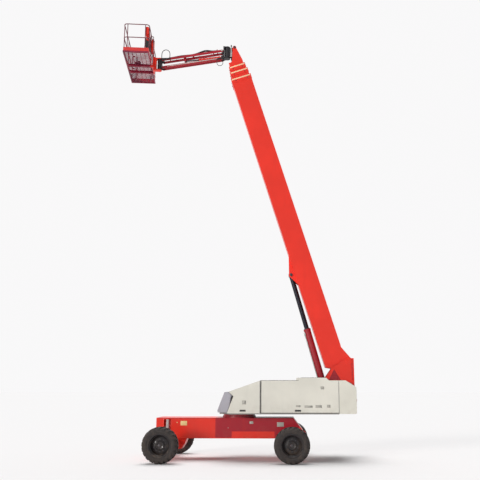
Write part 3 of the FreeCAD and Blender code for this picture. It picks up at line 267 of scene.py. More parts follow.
def tyre_rubber(name, colour, dirt):
    """Worn rubber, browner with dried dust in the hollows and over the sidewall."""
    f = Finish(name)
    dusty = f.noise(7, 6, 0.7)
    crumbs = f.noise(120, 3, 0.7)
    body = f.mix(dusty.ramp(0.38, 0.75) * 0.75, colour, dirt)
    body = f.mix(crumbs.ramp(0.6, 0.8) * 0.4, body, darker(colour, 0.5))
    f.set(Base_Color=body, Roughness=dusty.ramp(0.3, 0.7, 0.62, 0.85), Specular_IOR_Level=0.35)
    return f.bump((f.noise(90, 4, 0.7), 0.002, 0.35), (dusty, 0.006, 0.3)).material


def woven(name, colour, pale):
    """Woven nylon sleeve: a fine diagonal weave, fuzzed and faded on its high side."""
    f = Finish(name)
    weave = f.node("ShaderNodeTexWave", {"bands_direction": "DIAGONAL"}, {"Vector": f.place, "Scale": 55.0,
                                                                          "Distortion": 1.5}, out="Fac")
    across = f.node("ShaderNodeTexWave", {"bands_direction": "X"}, {"Vector": f.place, "Scale": 48.0,
                                                                    "Distortion": 2.0}, out="Fac")
    faded = f.noise(6, 5, 0.65)
    body = f.mix(faded.ramp(0.4, 0.75) * 0.55, colour, pale)
    body = f.mix(weave * across * 0.5, body, darker(colour, 0.5))
    f.set(Base_Color=body, Roughness=0.85, Sheen_Weight=0.2, Specular_IOR_Level=0.2)
    return f.bump((weave + across, 0.002, 0.5), (faded, 0.006, 0.4)).material


def lens(name, colour):
    """A lamp's lens of ribbed plastic."""
    f = Finish(name)
    ribs = f.node("ShaderNodeTexWave", {"bands_direction": "Z"}, {"Vector": f.place, "Scale": 60.0}, out="Fac")
    tint = f.mix(ribs * 0.4, colour, darker(colour, 0.6))
    f.set(Base_Color=tint, Roughness=0.12, Coat_Weight=0.5, Transmission_Weight=0.4)
    return f.bump((ribs, 0.001, 0.4)).material


RED = shade(236, 52, 36)
# Red darkened as painted shade: the turntable's shadow on the chassis and the shade on the jib's arms.
SHADE_CRIMSON = shade(166, 26, 42)
FINISHES = {}


def turntable_shadow_mask(f):
    """Painted shadow of the turntable on the chassis: a darker panel between the wheels, above a bright lower band
    left lit.
    """
    between = f.along("X").ramp(-2.1, -2.04) * f.along("X").ramp(0.74, 0.8, 1.0, 0.0)
    # The bright band along the bottom is left out of the painted shadow, as if lit.
    rail = f.along("X").ramp(-1.27, -1.2) * f.along("X").ramp(0.18, 0.24, 1.0, 0.0) * (f.along("Z") < 0.94)
    return between * (1 - rail)


def shade_under_floor(f):
    """Painted shade on the mount's beams, under the platform's floor."""
    return f.along("X").ramp(3.44, 3.5)


def outboard(f):
    """The hub's end, outside the wheel's disc."""
    return abs(f.along("Y")) > 1.6


def make_finishes():
    FINISHES.update(
        red=paint("red enamel", RED, dust=0.2),
        # The chassis's second colour is a painted shadow of the turntable.
        chassis=paint("chassis enamel and painted shadow", RED, dust=0.15, second=SHADE_CRIMSON, where=turntable_shadow_mask),
        hub=paint("hub enamel", RED, second=shade(36, 33, 36), where=outboard),
        dark_red=paint("dark red enamel", shade(160, 30, 42), gloss=0.3),
        # Darker red for the jib's arms, painted in for the shade on them.
        crimson=paint("crimson enamel", SHADE_CRIMSON, gloss=0.3, dust=0.2, low=14.0, high=14.4),
        ivory=paint("ivory enamel", shade(226, 223, 212), gloss=0.4, dust=0.16, texture=0.1, low=1.3, high=2.2),
        cast=paint("ivory casting", shade(224, 221, 209), gloss=0.5, dust=0.2, texture=0.5, low=1.3, high=2.2),
        # The rails above the toe board take a darker colour as painted shade.
        rails=lit_and_shaded_paint("platform enamel with painted shade above", shade(214, 50, 46), shade(104, 36, 54), 14.612),
        # The floor's darker red stands for the shade on its underside: painted shade, varied at random in darker
        # patches.
        floor=paint("platform floor in painted shade", shade(150, 34, 62), gloss=0.4, dust=0.0, rounding=0.002,
                    second=shade(112, 34, 62), where=lambda f: f.noise(2.2, 3, 0.5).ramp(0.4, 0.62)),
        # The mount's darker colour under the platform's floor is painted shade.
        mount=paint("platform mount enamel and painted shade", RED, second=shade(140, 30, 54), where=shade_under_floor, dust=0.0),
        cap_grey=moulded("grey moulding", shade(160, 158, 166)),
        edge_grey=paint("grey edging", shade(148, 146, 143), gloss=0.5, dust=0.4, low=1.3, high=2.0, rounding=0.003),
        black=paint("black enamel", shade(34, 32, 36), gloss=0.32, dust=0.3, rounding=0.004),
        rim=paint("wheel enamel", shade(38, 34, 36), gloss=0.36, dust=0.35, low=0.0, high=1.1, rounding=0.004),
        black_plastic=moulded("black moulding", shade(30, 29, 31), grain=0.5),
        rubber=tyre_rubber("tyre rubber", shade(48, 43, 42), shade(84, 74, 68)),
        seal=moulded("seal rubber", shade(36, 35, 36), gloss=0.7, grain=0.2),
        hose=moulded("hose rubber", shade(28, 27, 30), gloss=0.45, grain=0.3, scale=260),
        sleeve=woven("woven sleeve", shade(38, 36, 40), shade(84, 80, 82)),
        chrome=steel("plated rod", shade(205, 205, 208), gloss=0.1),
        dark_rod=steel("nitrided rod", shade(34, 34, 42), gloss=0.22, metal=0.7),
        zinc=steel("zinc-plated steel", shade(176, 176, 172), gloss=0.34, brushed=0.1),
        dark_steel=steel("oiled steel", shade(74, 70, 72), gloss=0.4, metal=0.8),
        pale_grey=paint("pale grey enamel", shade(188, 184, 182), gloss=0.4, dust=0.3),
        cream=paint("cream band", shade(250, 214, 170), gloss=0.45, dust=0.0, rounding=0.0),
        # This white moulding, named a blank plate, serves only as the painted highlight along the jib's lower arm.
        plate_white=moulded("blank plate", shade(206, 204, 196), grain=0.08),
        plate_grey=moulded("blank grey plate", shade(176, 173, 164), grain=0.08),
        plate_yellow=moulded("blank yellow plate", shade(238, 206, 142), grain=0.08),
        lamp_red=lens("red lens", shade(214, 30, 26)),
        button_red=moulded("red button", shade(206, 30, 30), gloss=0.3, grain=0.05),
    )


NODE_FINISHES = {
    "chassis": ["chassis_frame"],
    "hub": [corner + "_knuckle" for corner, side in CORNERS],
    "red": ["front_axle", "rear_axle", "boom_tower", "boom_base", "boom_section_two", "boom_section_three",
            "boom_tip", "equipment_boxes", "jib_cylinder"],
    "mount": ["platform_mount"],
    "dark_red": ["slewing_ring", "lift_cylinder"],
    # The jib's arms get the darker red that paints in their shade.
    "crimson": ["jib_upper_arm", "jib_lower_arm"],
    "ivory": ["left_main_door", "right_main_door", "left_nose_door", "right_nose_door"],
    "cast": ["counterweight"],
    "edge_grey": ["turntable_deck", "channel_walls"],
    "cap_grey": ["nose_caps"],
    "black": ["engine_block", "hydraulic_tank", "level_bracket", "jib_base", "jib_head", "level_cylinder",
              "front_steering_cylinder", "rear_steering_cylinder"],
    "rim": [corner + "_wheel" for corner, side in CORNERS],
    "pale_grey": ["oscillation_cylinders"],
    "dark_rod": ["lift_rod", "jib_rod"],
    "chrome": ["level_rod"],
    "dark_steel": ["front_tie_rod", "rear_tie_rod"],
    "rails": ["platform_rails", "platform_gate", "rear_guard"],
    "floor": ["platform_floor"],
    "black_plastic": ["control_console"],
}


# ---------------------------------------------------------------- shaping
def turned_to(direction):
    """Turns +Z to a direction."""
    return Vector(direction).to_track_quat("Z", "Y").to_matrix().to_4x4()


def rounded(bm, edges, width, segments=2):
    bmesh.ops.bevel(bm, geom=edges, offset=width, offset_type="OFFSET", segments=segments, profile=0.5,
                    affect="EDGES", material=-1, clamp_overlap=True)


def add_box(bm, centre, size, bevel=0.0, turn=None):
    """A block with rounded edges about a centre, turned by a matrix."""
    made = bmesh.ops.create_cube(bm, size=1.0)["verts"]
    bmesh.ops.scale(bm, vec=size, verts=made)
    if bevel:
        edges = list({e for v in made for e in v.link_edges})
        known = set(bm.verts) - set(made)
        rounded(bm, edges, bevel)
        made = [v for v in bm.verts if v not in known]
    if turn:
        bmesh.ops.transform(bm, matrix=turn, verts=made)
    bmesh.ops.translate(bm, vec=centre, verts=made)
    return made


def add_bar(bm, start, end, radius, sides=16, end_radius=None, bevel=0.0):
    """A round bar or cone between two points."""
    start, end = Vector(start), Vector(end)
    along = end - start
    known = set(bm.verts)
    made = bmesh.ops.create_cone(bm, cap_ends=True, cap_tris=False, segments=sides, radius1=radius,
                                 radius2=radius if end_radius is None else end_radius, depth=along.length)["verts"]
    if bevel:
        caps = {f for v in made for f in v.link_faces if len(f.verts) == sides}
        rounded(bm, list({e for f in caps for e in f.edges}), bevel)
        made = [v for v in bm.verts if v not in known]
    bmesh.ops.transform(bm, matrix=Matrix.Translation((start + end) / 2) @ turned_to(along), verts=made)
    return made


def add_bolt(bm, at, out, size=0.024, washer=True):
    """A hexagon head of that width, standing on a surface at a point."""
    at, out = Vector(at), Vector(out).normalized()
    if washer:
        add_bar(bm, at, at + out * size * 0.16, size * 0.78, 12)
    add_bar(bm, at + out * size * 0.1, at + out * size * 0.62, size * 0.57, 6)
    add_bar(bm, at + out * size * 0.6, at + out * size * 0.75, size * 0.3, 6)


def circle(count, radius, shift=0.0):
    """Points evenly round a circle, the first turned by a share of a step."""
    for i in range(count):
        a = 2 * math.pi * (i + shift) / count
        yield radius * math.cos(a), radius * math.sin(a)


def add_ring(bm, section, steps):
    """Turns a closed outline of (radius, along) points about the Y axis."""
    verts = [bm.verts.new((r, a, 0)) for r, a in section]
    face = bm.faces.new(verts)
    bmesh.ops.spin(bm, geom=[face, *verts, *face.edges], cent=(0, 0, 0), axis=Y, angle=2 * math.pi, steps=steps,
                   use_merge=True)


def add_plate(bm, outline, thickness, direction, bevel=0.0):
    """A flat plate: its outline as points in space, made thick along a direction."""
    known = set(bm.verts)
    face = bm.faces.new([bm.verts.new(p) for p in outline])
    grown = bmesh.ops.extrude_face_region(bm, geom=[face])["geom"]
    bmesh.ops.translate(bm, vec=Vector(direction).normalized() * thickness,
                        verts=[g for g in grown if isinstance(g, bmesh.types.BMVert)])
    made = [v for v in bm.verts if v not in known]
    if bevel:
        rounded(bm, list({e for v in made for e in v.link_edges}), bevel, 1)
        made = [v for v in bm.verts if v not in known]
    return made


def copies_round(bm, geometry, count):
    """Repeats geometry evenly round the Y axis."""
    for i in range(1, count):
        new = bmesh.ops.duplicate(bm, geom=geometry)["geom"]
        verts = [g for g in new if isinstance(g, bmesh.types.BMVert)]
        bmesh.ops.rotate(bm, cent=(0, 0, 0), matrix=Matrix.Rotation(2 * math.pi * i / count, 3, "Y"), verts=verts)


def piece(name, bm, body, finish, smooth=35):
    """Closes a mesh into a named piece that rides on a body."""
    bmesh.ops.remove_doubles(bm, verts=bm.verts, dist=1e-6)
    bmesh.ops.recalc_face_normals(bm, faces=bm.faces)
    mesh = bpy.data.meshes.new(name)
    bm.to_mesh(mesh)
    bm.free()
    made = bpy.data.objects.new(name, mesh)
    bpy.context.scene.collection.objects.link(made)
    mesh.materials.append(FINISHES[finish])
    mesh.polygons.foreach_set("use_smooth", [True] * len(mesh.polygons))
    mesh.set_sharp_from_angle(angle=math.radians(smooth))
    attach(made, body)
    return made


def boom_at(along, below, side=0.0):
    """A point by its distance along the boom, below its pivot line, and to the left."""
    c, s = math.cos(BOOM_TILT), math.sin(BOOM_TILT)
    return Vector((BOOM_PIVOT.x + along * c + below * s, side, BOOM_PIVOT.z + along * s - below * c))


def jib_at(along, up, side=0.0, base=UPPER_PIN_Z):
    """A point by its distance along an arm of the jib, above its pins' line, and to the left."""
    c, s = math.cos(JIB_TILT), math.sin(JIB_TILT)
    return Vector((JIB_BASE_X + along * c - up * s, side, base + along * s + up * c))


def lying_along(direction):
    """Turns +X to a direction."""
    return direction.to_track_quat("X", "Z").to_matrix().to_4x4()


BOOM_TURN = Matrix.Rotation(-BOOM_TILT, 4, "Y")
JIB_TURN = Matrix.Rotation(-JIB_TILT, 4, "Y")


# ---------------------------------------------------------------- settings
class TyreSettings(bpy.types.PropertyGroup):
    lugs: IntProperty(name="Lugs", description="Lugs round each half of the tread", default=21, min=8, max=40)
    depth: FloatProperty(name="Lug depth", description="Height of the lugs", default=0.03, unit="LENGTH")
    studs: IntProperty(name="Wheel nuts", description="Nuts on each wheel", default=10, min=4, max=20)


class StripeSettings(bpy.types.PropertyGroup):
    width: FloatProperty(name="Band width", description="Width of the cream bands", default=0.045, unit="LENGTH")


class StageSettings(bpy.types.PropertyGroup):
    key: FloatProperty(name="Key light", description="Strength of the main lamp", default=2.5)
    sky: FloatProperty(name="Sky", description="Strength of the light all round", default=0.26)
    floor: FloatVectorProperty(name="Floor", description="Colour of the floor", subtype="COLOR",
                               default=(0.8, 0.795, 0.8))
    lens: FloatProperty(name="Lens", description="Focal length in millimetres", default=48.674)
    place: FloatVectorProperty(name="Camera place", description="Where the camera stands", subtype="XYZ",
                               unit="LENGTH", default=(-1.78, 23.009, 2.365))
    turn: FloatProperty(name="Camera turn", description="Turn of the camera to its left", unit="ROTATION",
                        default=math.radians(1.473))
    tilt: FloatProperty(name="Camera tilt", description="How far the camera looks up", unit="ROTATION",
                        default=math.radians(10.046))


# ---------------------------------------------------------------- operators
class FinishNodes(bpy.types.Operator):
    """Gives every part of the frame its finish"""
    bl_idname = "boomlift.finish_nodes"
    bl_label = "Finishes"

    def execute(self, context):
        make_finishes()
        for finish, nodes in NODE_FINISHES.items():
            for name in nodes:
                mesh = frame["nodes"][name].data
                mesh.materials.clear()
                mesh.materials.append(FINISHES[finish])
        return {"FINISHED"}


class Hoses(bpy.types.Operator):
    """The sleeve of hoses along the jib and the two loose loops"""
    bl_idname = "boomlift.hoses"
    bl_label = "Hoses"

    def hang(self, node, body, points, radius, length, finish):
        """A hose along a smooth line, from its exit to where it goes back into the machine."""
        curve = bpy.data.curves.new(node + "_line", "CURVE")
        curve.dimensions = "3D"
        line = curve.splines.new("NURBS")
        line.points.add(len(points) - 1)
        for point, place in zip(line.points, points):
            point.co = (*place, 1)
        line.order_u = 3
        line.use_endpoint_u = True
        curve.resolution_u, curve.bevel_depth, curve.bevel_resolution = 16, radius, 6
        curve.use_fill_caps = True
        curve.materials.append(FINISHES[finish])
        made = bpy.data.objects.new(node + "_line", curve)
        bpy.context.scene.collection.objects.link(made)
        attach(made, body)
        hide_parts(node)

    def execute(self, context):
        sleeve = [(0.2, 0.092), (0.32, 0.092), (0.44, 0.12), (0.56, 0.162), (0.69, 0.166), (0.83, 0.134), (0.96, 0.1),
                  (1.125, 0.076), (1.35, 0.084), (1.56, 0.102), (1.74, 0.098), (1.88, 0.086), (2.01, 0.086)]
        nose = [(0.962, 14.705), (0.962, 14.605), (0.96, 14.515), (0.897, 14.452), (0.803, 14.45), (0.739, 14.515),
                (0.738, 14.605), (0.738, 14.705)]
        head = [(3.082, 14.79), (3.082, 14.905), (3.074, 15.012), (3.03, 15.09), (2.956, 15.13), (2.872, 15.124),
                (2.806, 15.074), (2.774, 14.998), (2.768, 14.9), (2.768, 14.79)]
        sleeve = [jib_at(along, up) for along, up in sleeve]
        self.hang("jib_hose_sleeve", "jib_upper_arm", sleeve, 0.034, 1.83, "sleeve")
        self.hang("nose_hose", "jib_base", [(x, HOSE_Y, z) for x, z in nose], 0.01, 0.64, "hose")
        self.hang("head_hose", "jib_head", [(x, HOSE_Y, z) for x, z in head], 0.013, 0.84, "hose")
        return {"FINISHED"}


class Tyres(bpy.types.Operator):
    """Rough-terrain tyres with staggered lugs"""
    bl_idname = "boomlift.tyres"
    bl_label = "Tyres"

    def carcass(self, bm, radius, half, depth):
        """The tyre without its lugs, about the Y axis."""
        bead, crown = TYRE_BEAD, radius - depth
        side = [(bead, half - 0.045), (bead + 0.012, half - 0.022), (bead + 0.03, half - 0.012),
                (bead + 0.036, half - 0.016), (bead + 0.075, half - 0.002), (bead + 0.081, half - 0.007),
                (bead + 0.12, half - 0.006), (crown - 0.03, half - 0.03), (crown - 0.008, half - 0.055),
                (crown, half - 0.1), (crown + 0.002, 0.03)]
        outline = side + [(r, -a) for r, a in reversed(side)]
        add_ring(bm, outline, steps=72)

    def lug(self, bm, radius, half, depth, side, lean, count):
        """One lug of the tread on a side, leaning over towards its shoulder."""
        low, crown = radius - depth - 0.012, radius
        outline = [(low, 0.012), (crown, 0.016), (crown - 0.002, half - 0.1), (crown - 0.012, half - 0.05),
                   (crown - 0.04, half - 0.018), (crown - 0.095, half - 0.004), (crown - 0.1, half - 0.03),
                   (low - 0.02, half - 0.06)]
        face = bm.faces.new([bm.verts.new((r, a * side, 0)) for r, a in outline])
        before = set(bm.verts) - set(face.verts)
        bmesh.ops.spin(bm, geom=[face, *face.verts, *face.edges], cent=(0, 0, 0), axis=Y,
                       angle=2 * math.pi / count * 0.52, steps=2)
        made = [v for v in bm.verts if v not in before]
        for vert in made:
            turn = lean * (half - abs(vert.co.y)) / half
            vert.co = Matrix.Rotation(turn, 3, "Y") @ vert.co
        return list({f for v in made for f in v.link_faces})

    def execute(self, context):
        s = context.scene.boomlift_tyres
        low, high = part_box("front_left_tyre")
        radius, half = (high.z - low.z) / 2, (high.y - low.y) / 2
        for corner, side in CORNERS:
            node = corner + "_tyre"
            bm = bmesh.new()
            self.carcass(bm, radius, half, s.depth)
            for half_side in (1, -1):
                faces = self.lug(bm, radius, half, s.depth, half_side, -0.19 * side, s.lugs)
                verts = {v for f in faces for v in f.verts}
                if half_side < 0:
                    bmesh.ops.rotate(bm, cent=(0, 0, 0), verts=list(verts),
                                     matrix=Matrix.Rotation(math.pi / s.lugs, 3, "Y"))
                edges = {e for f in faces for e in f.edges}
                copies_round(bm, [*verts, *edges, *faces], s.lugs)
            stopped_at = 0.11 * (1 + side) + (0.2 if corner.startswith("rear") else 0)
            bmesh.ops.rotate(bm, cent=(0, 0, 0), verts=bm.verts, matrix=Matrix.Rotation(stopped_at, 3, "Y"))
            bmesh.ops.translate(bm, vec=middle(node), verts=bm.verts)
            tyre = piece(node + "_tread", bm, corner + "_wheel", "rubber", smooth=28)
            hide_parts(node)
        return {"FINISHED"}


class WheelFittings(bpy.types.Operator):
    """Wheel nuts, hub bolts and valves"""
    bl_idname = "boomlift.wheel_fittings"
    bl_label = "Wheel fittings"

    def execute(self, context):
        s = context.scene.boomlift_tyres
        for corner, side in CORNERS:
            c = middle(corner + "_tyre")
            bm = bmesh.new()
            for x, z in circle(s.studs, 0.19, 0.5):
                add_bolt(bm, c + Vector((x, side * 0.0435, z)), Y * side, 0.034)
            for x, z in circle(8, 0.095):
                add_bolt(bm, c + Vector((x, side * 0.108, z)), Y * side, 0.018, washer=False)
            add_bar(bm, c + Y * side * 0.1, c + Y * side * 0.128, 0.052, 32, bevel=0.006)
            add_bar(bm, c + Vector((0.3, side * 0.075, 0.03)), c + Vector((0.315, side * 0.13, 0.033)), 0.007, 10)
            piece(corner + "_wheel_nuts", bm, corner + "_wheel", "dark_steel")
        return {"FINISHED"}


class ChassisFittings(bpy.types.Operator):
    """Slewing-ring bolts, blank plates, edge flanges and kingpin bolts on the chassis"""
    bl_idname = "boomlift.chassis_fittings"
    bl_label = "Chassis fittings"

    def execute(self, context):
        bm = bmesh.new()
        for x, y in circle(40, 0.56, 0.5):
            add_bolt(bm, (x, y, 1.43), Z, 0.022)
        piece("slewing_ring_bolts", bm, "chassis", "dark_steel")
        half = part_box("chassis_frame")[1].y
        bm = bmesh.new()
        for side in (1, -1):
            out = side * (half + 0.003)
            add_box(bm, (0.15, out, 0.722), (3.6, 0.008, 0.022), 0.003)
            add_box(bm, (2.4, out, 1.355), (0.27, 0.01, 0.03), 0.004)
            for x in (2.27, 2.53):
                add_box(bm, (x, out, 1.03), (0.03, 0.01, 0.62), 0.004)
            for i in range(6):
                add_bolt(bm, (AXLES_X[1] + (i - 2.5) * 0.085, side * half, 0.8), Y * side, 0.026)
        piece("chassis_flanges", bm, "chassis", "red")
        bm = bmesh.new()
        for side in (1, -1):
            add_box(bm, (0.42, side * (half + 0.003), 1.38), (4.6, 0.008, 0.014), 0.002)
        piece("chassis_top_edges", bm, "chassis", "dark_red")
        bm = bmesh.new()
        add_box(bm, (1.841, half + 0.002, 1.211), (0.222, 0.004, 0.15), 0.0015)
        add_bar(bm, (2.072, half, 1.235), (2.072, half + 0.004, 1.235), 0.02, 20)
        piece("chassis_plates", bm, "chassis", "plate_yellow")
        bm = bmesh.new()
        add_box(bm, (-0.452, half + 0.002, 1.233), (0.127, 0.004, 0.086), 0.0015)
        add_box(bm, (-1.433, half + 0.002, 1.172), (0.23, 0.004, 0.146), 0.0015)
        add_bar(bm, (0.335, half, 1.058), (0.335, half + 0.006, 1.058), 0.012, 16)
        add_box(bm, (1.841, -half - 0.002, 1.211), (0.222, 0.004, 0.15), 0.0015)
        piece("chassis_grey_plates", bm, "chassis", "plate_grey")
        bm = bmesh.new()
        for side in (1, -1):
            for x in (AXLES_X[0] - 0.08, AXLES_X[0] + 0.08):
                add_bolt(bm, (x, side * KINGPIN_Y, KINGPIN_TOP), Z, 0.028)
            for axle in AXLES_X:
                for x, y in circle(4, 0.052, 0.5):
                    add_bolt(bm, (axle + x, side * KINGPIN_Y + y, KINGPIN_TOP), Z, 0.02)
        piece("kingpin_bolts", bm, "chassis", "dark_steel")
        return {"FINISHED"}


class TurntableTrim(bpy.types.Operator):
    """Seals, latches, blank plates, louvres, bolts, lamps and vents on the turntable"""
    bl_idname = "boomlift.turntable_trim"
    bl_label = "Turntable trim"

    def execute(self, context):
        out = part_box("left_main_door")[1].y
        blade = Matrix.Rotation(math.radians(28), 4, "Y")
        top, seam = HOOD_TOP, SEAM_X
        for side_name, side in SIDES:
            door, nose = f"{side_name}_main_door", f"{side_name}_nose_door"
            bm = bmesh.new()
            add_box(bm, (seam - 0.018, side * (out + 0.002), 2.096), (0.022, 0.008, 1.06), 0.003)
            add_box(bm, (seam - 0.018, side * 0.85, top + 0.002), (0.022, 0.79, 0.008), 0.003)
            add_box(bm, ((seam + 0.002 - 3.362) / 2, side * (out + 0.001), 1.574), (seam + 3.355, 0.006, 0.018),
                    0.002)
            add_box(bm, ((seam - 0.01 - 2.05) / 2, side * (out - 0.004), top + 0.002), (1.25, 0.022, 0.01), 0.003)
            piece(door + "_seal", bm, door, "seal")
            bm = bmesh.new()
            add_box(bm, (seam + 0.016, side * (out + 0.001), 2.096), (0.018, 0.006, 1.06), 0.002)
            piece(nose + "_seal", bm, nose, "edge_grey")
            bm = bmesh.new()
            add_box(bm, (REAR_SEAM_X, side * (out + 0.001), 2.07), (0.016, 0.006, 1.02), 0.002)
            add_box(bm, (REAR_SEAM_X, side * 0.85, top + 0.001), (0.016, 0.78, 0.006), 0.002)
            piece(side_name + "_rear_seam", bm, "turntable", "edge_grey")
            for body, x, length in ((door, -2.02, 0.205), (nose, -0.2, 0.2)):
                bm = bmesh.new()
                add_box(bm, (x, side * (out + 0.001), 1.648), (length, 0.008, 0.058), 0.004)
                piece(body + "_latch_cup", bm, body, "seal")
                bm = bmesh.new()
                add_box(bm, (x, side * (out + 0.006), 1.66), (length - 0.03, 0.01, 0.022), 0.004)
                keyhole = Vector((x + 0.06, side * (out + 0.002), 1.635))
                add_bar(bm, keyhole, keyhole + Y * side * 0.007, 0.011, 16)
                piece(body + "_latch", bm, body, "black_plastic")
            bm = bmesh.new()
            for x0, x1, z0, z1 in ((-2.106, -1.951, 1.77, 1.823), (-2.502, -2.235, 1.748, 1.815),
                                   (-2.802, -2.598, 1.748, 1.828), (-3.085, -2.977, 1.75, 1.842),
                                   (-2.883, -2.771, 2.34, 2.433)):
                centre = ((x0 + x1) / 2, side * (out + 0.0008), (z0 + z1) / 2)
                add_box(bm, centre, (x1 - x0, 0.002, z1 - z0), 0.0008)
            piece(door + "_plates", bm, door, "plate_grey")
            bm = bmesh.new()
            add_box(bm, (-0.246, side * (out + 0.0008), 1.915), (0.126, 0.002, 0.125), 0.0008)
            piece(nose + "_plate", bm, nose, "plate_grey")
            bm = bmesh.new()
            for i in range(9):
                add_box(bm, (-2.85 + i * 0.085, side * 0.86, 2.722), (0.06, 0.5, 0.006), 0.002, turn=blade)
            for y in (0.6, 1.12):
                add_box(bm, (-2.51, side * y, 2.722), (0.78, 0.02, 0.012), 0.003)
            piece(door + "_louvres", bm, door, "seal")
            bm = bmesh.new()
            for z in (1.75, 2.3):
                for y in (0.62, 1.05):
                    add_bolt(bm, (COUNTERWEIGHT_BACK, side * y, z), -X, 0.032)
            for x, low, high in ((-3.48, 2.63, 2.642), (-3.75, 2.52, 2.56)):
                for y in (0.55, 1.1):
                    add_bar(bm, (x, side * y, low), (x, side * y, high), 0.03, 20, bevel=0.004)
            piece(side_name + "_counterweight_bolts", bm, "turntable", "dark_steel")
            bm = bmesh.new()
            add_box(bm, (-3.953, side * 1.12, 1.95), (0.014, 0.11, 0.19), 0.005)
            piece(side_name + "_lamp_body", bm, "turntable", "black_plastic")
            bm = bmesh.new()
            add_box(bm, (-3.962, side * 1.12, 1.99), (0.014, 0.09, 0.085), 0.005)
            piece(side_name + "_lamp", bm, "turntable", "lamp_red")
            bm = bmesh.new()
            for z in (2.2, 2.12):
                add_box(bm, (0.72 - (z - 1.64) * 0.41, side * 0.62, z - 0.15), (0.02, 0.2, 0.012), 0.004)
            piece(side_name + "_nose_vents", bm, "turntable", "black_plastic")
        return {"FINISHED"}


class BoomTrim(bpy.types.Operator):
    """Cream bands, adjusters, pin covers, gussets and keepers on the boom and its tower"""
    bl_idname = "boomlift.boom_trim"
    bl_label = "Boom trim"

    def execute(self, context):
        s = context.scene.boomlift_stripes
        for k, (body, head) in enumerate(BOOM_SECTIONS):
            upper, lower, half = 0.085 + 0.035 * k, 0.83 - 0.035 * k, 0.28 - 0.035 * k + 0.012
            bm = bmesh.new()
            for side in (1, -1):
                at = boom_at(head - 0.045, (upper + lower) / 2, side * (half + 0.001))
                add_box(bm, at, (s.width, 0.004, lower - upper - 0.03), 0.001, turn=BOOM_TURN)
            piece(body + "_band", bm, body, "cream")
            bm = bmesh.new()
            for side in (1, -1):
                for share in (0.2, 0.8):
                    at = boom_at(head - 0.12, upper + (lower - upper) * share, side * half)
                    add_bolt(bm, at, Y * side, 0.026)
            for y in (-0.12, 0.12):
                add_bolt(bm, boom_at(head - 0.09, upper - 0.012, y), boom_at(0, -1) - boom_at(0, 0), 0.026)
                add_bolt(bm, boom_at(head - 0.09, lower + 0.012, y), boom_at(0, 1) - boom_at(0, 0), 0.026)
            piece(body + "_adjusters", bm, body, "dark_steel")
        bm = bmesh.new()
        for side in (1, -1):
            pivot = BOOM_PIVOT + Y * side * 0.37
            add_bar(bm, pivot - Y * side * 0.01, pivot + Y * side * 0.012, 0.1, 32, bevel=0.004)
            for x, z in circle(6, 0.075):
                add_bolt(bm, pivot + Vector((x, side * 0.01, z)), Y * side, 0.02)
        piece("tower_pin_covers", bm, "turntable", "red")
        bm = bmesh.new()
        for side in (1, -1):
            add_box(bm, LIFT_FOOT + Vector((0.05, side * 0.39, 0.03)), (0.16, 0.012, 0.05), 0.003)
            add_bar(bm, BOOM_PIVOT + Y * side * 0.38, BOOM_PIVOT + Y * side * 0.386, 0.03, 24, bevel=0.002)
        piece("tower_pin_keepers", bm, "turntable", "dark_steel")
        # Gusset plates on the tower, in a dark red that stands for the shade round them: painted shade on real
        # plates.
        bm = bmesh.new()
        for side in (1, -1):
            gusset = [(x, side * 0.371, z) for x, z in ((-3.5, 2.66), (-3.28, 3.02), (-3.1, 2.66))]
            add_plate(bm, gusset, 0.008, Y * side, 0.002)
            add_box(bm, (-3.9, side * 0.374, 3.0), (0.02, 0.01, 0.7), 0.003)
        piece("tower_gussets_painted_shade", bm, "turntable", "dark_red")
        bm = bmesh.new()
        for side in (1, -1):
            at = boom_at(*LIFT_EYE, side * 0.176)
            add_bar(bm, at, at + Y * side * 0.01, 0.05, 24, bevel=0.003)
            add_box(bm, at + Y * side * 0.004, (0.14, 0.01, 0.03), 0.003, turn=BOOM_TURN)
        piece("lift_pin_keepers", bm, "boom_base", "dark_steel")
        bm = bmesh.new()
        for side in (1, -1):
            at = boom_at(*NOSE_PIN, side * 0.187)
            add_bar(bm, at, at + Y * side * 0.012, 0.045, 24, bevel=0.003)
            for along in (-0.048, 0.048):
                add_bolt(bm, boom_at(NOSE_PIN[0] + along, NOSE_PIN[1], side * 0.176), Y * side, 0.02)
        piece("nose_pin_keepers", bm, "boom_tip", "dark_steel")
        return {"FINISHED"}


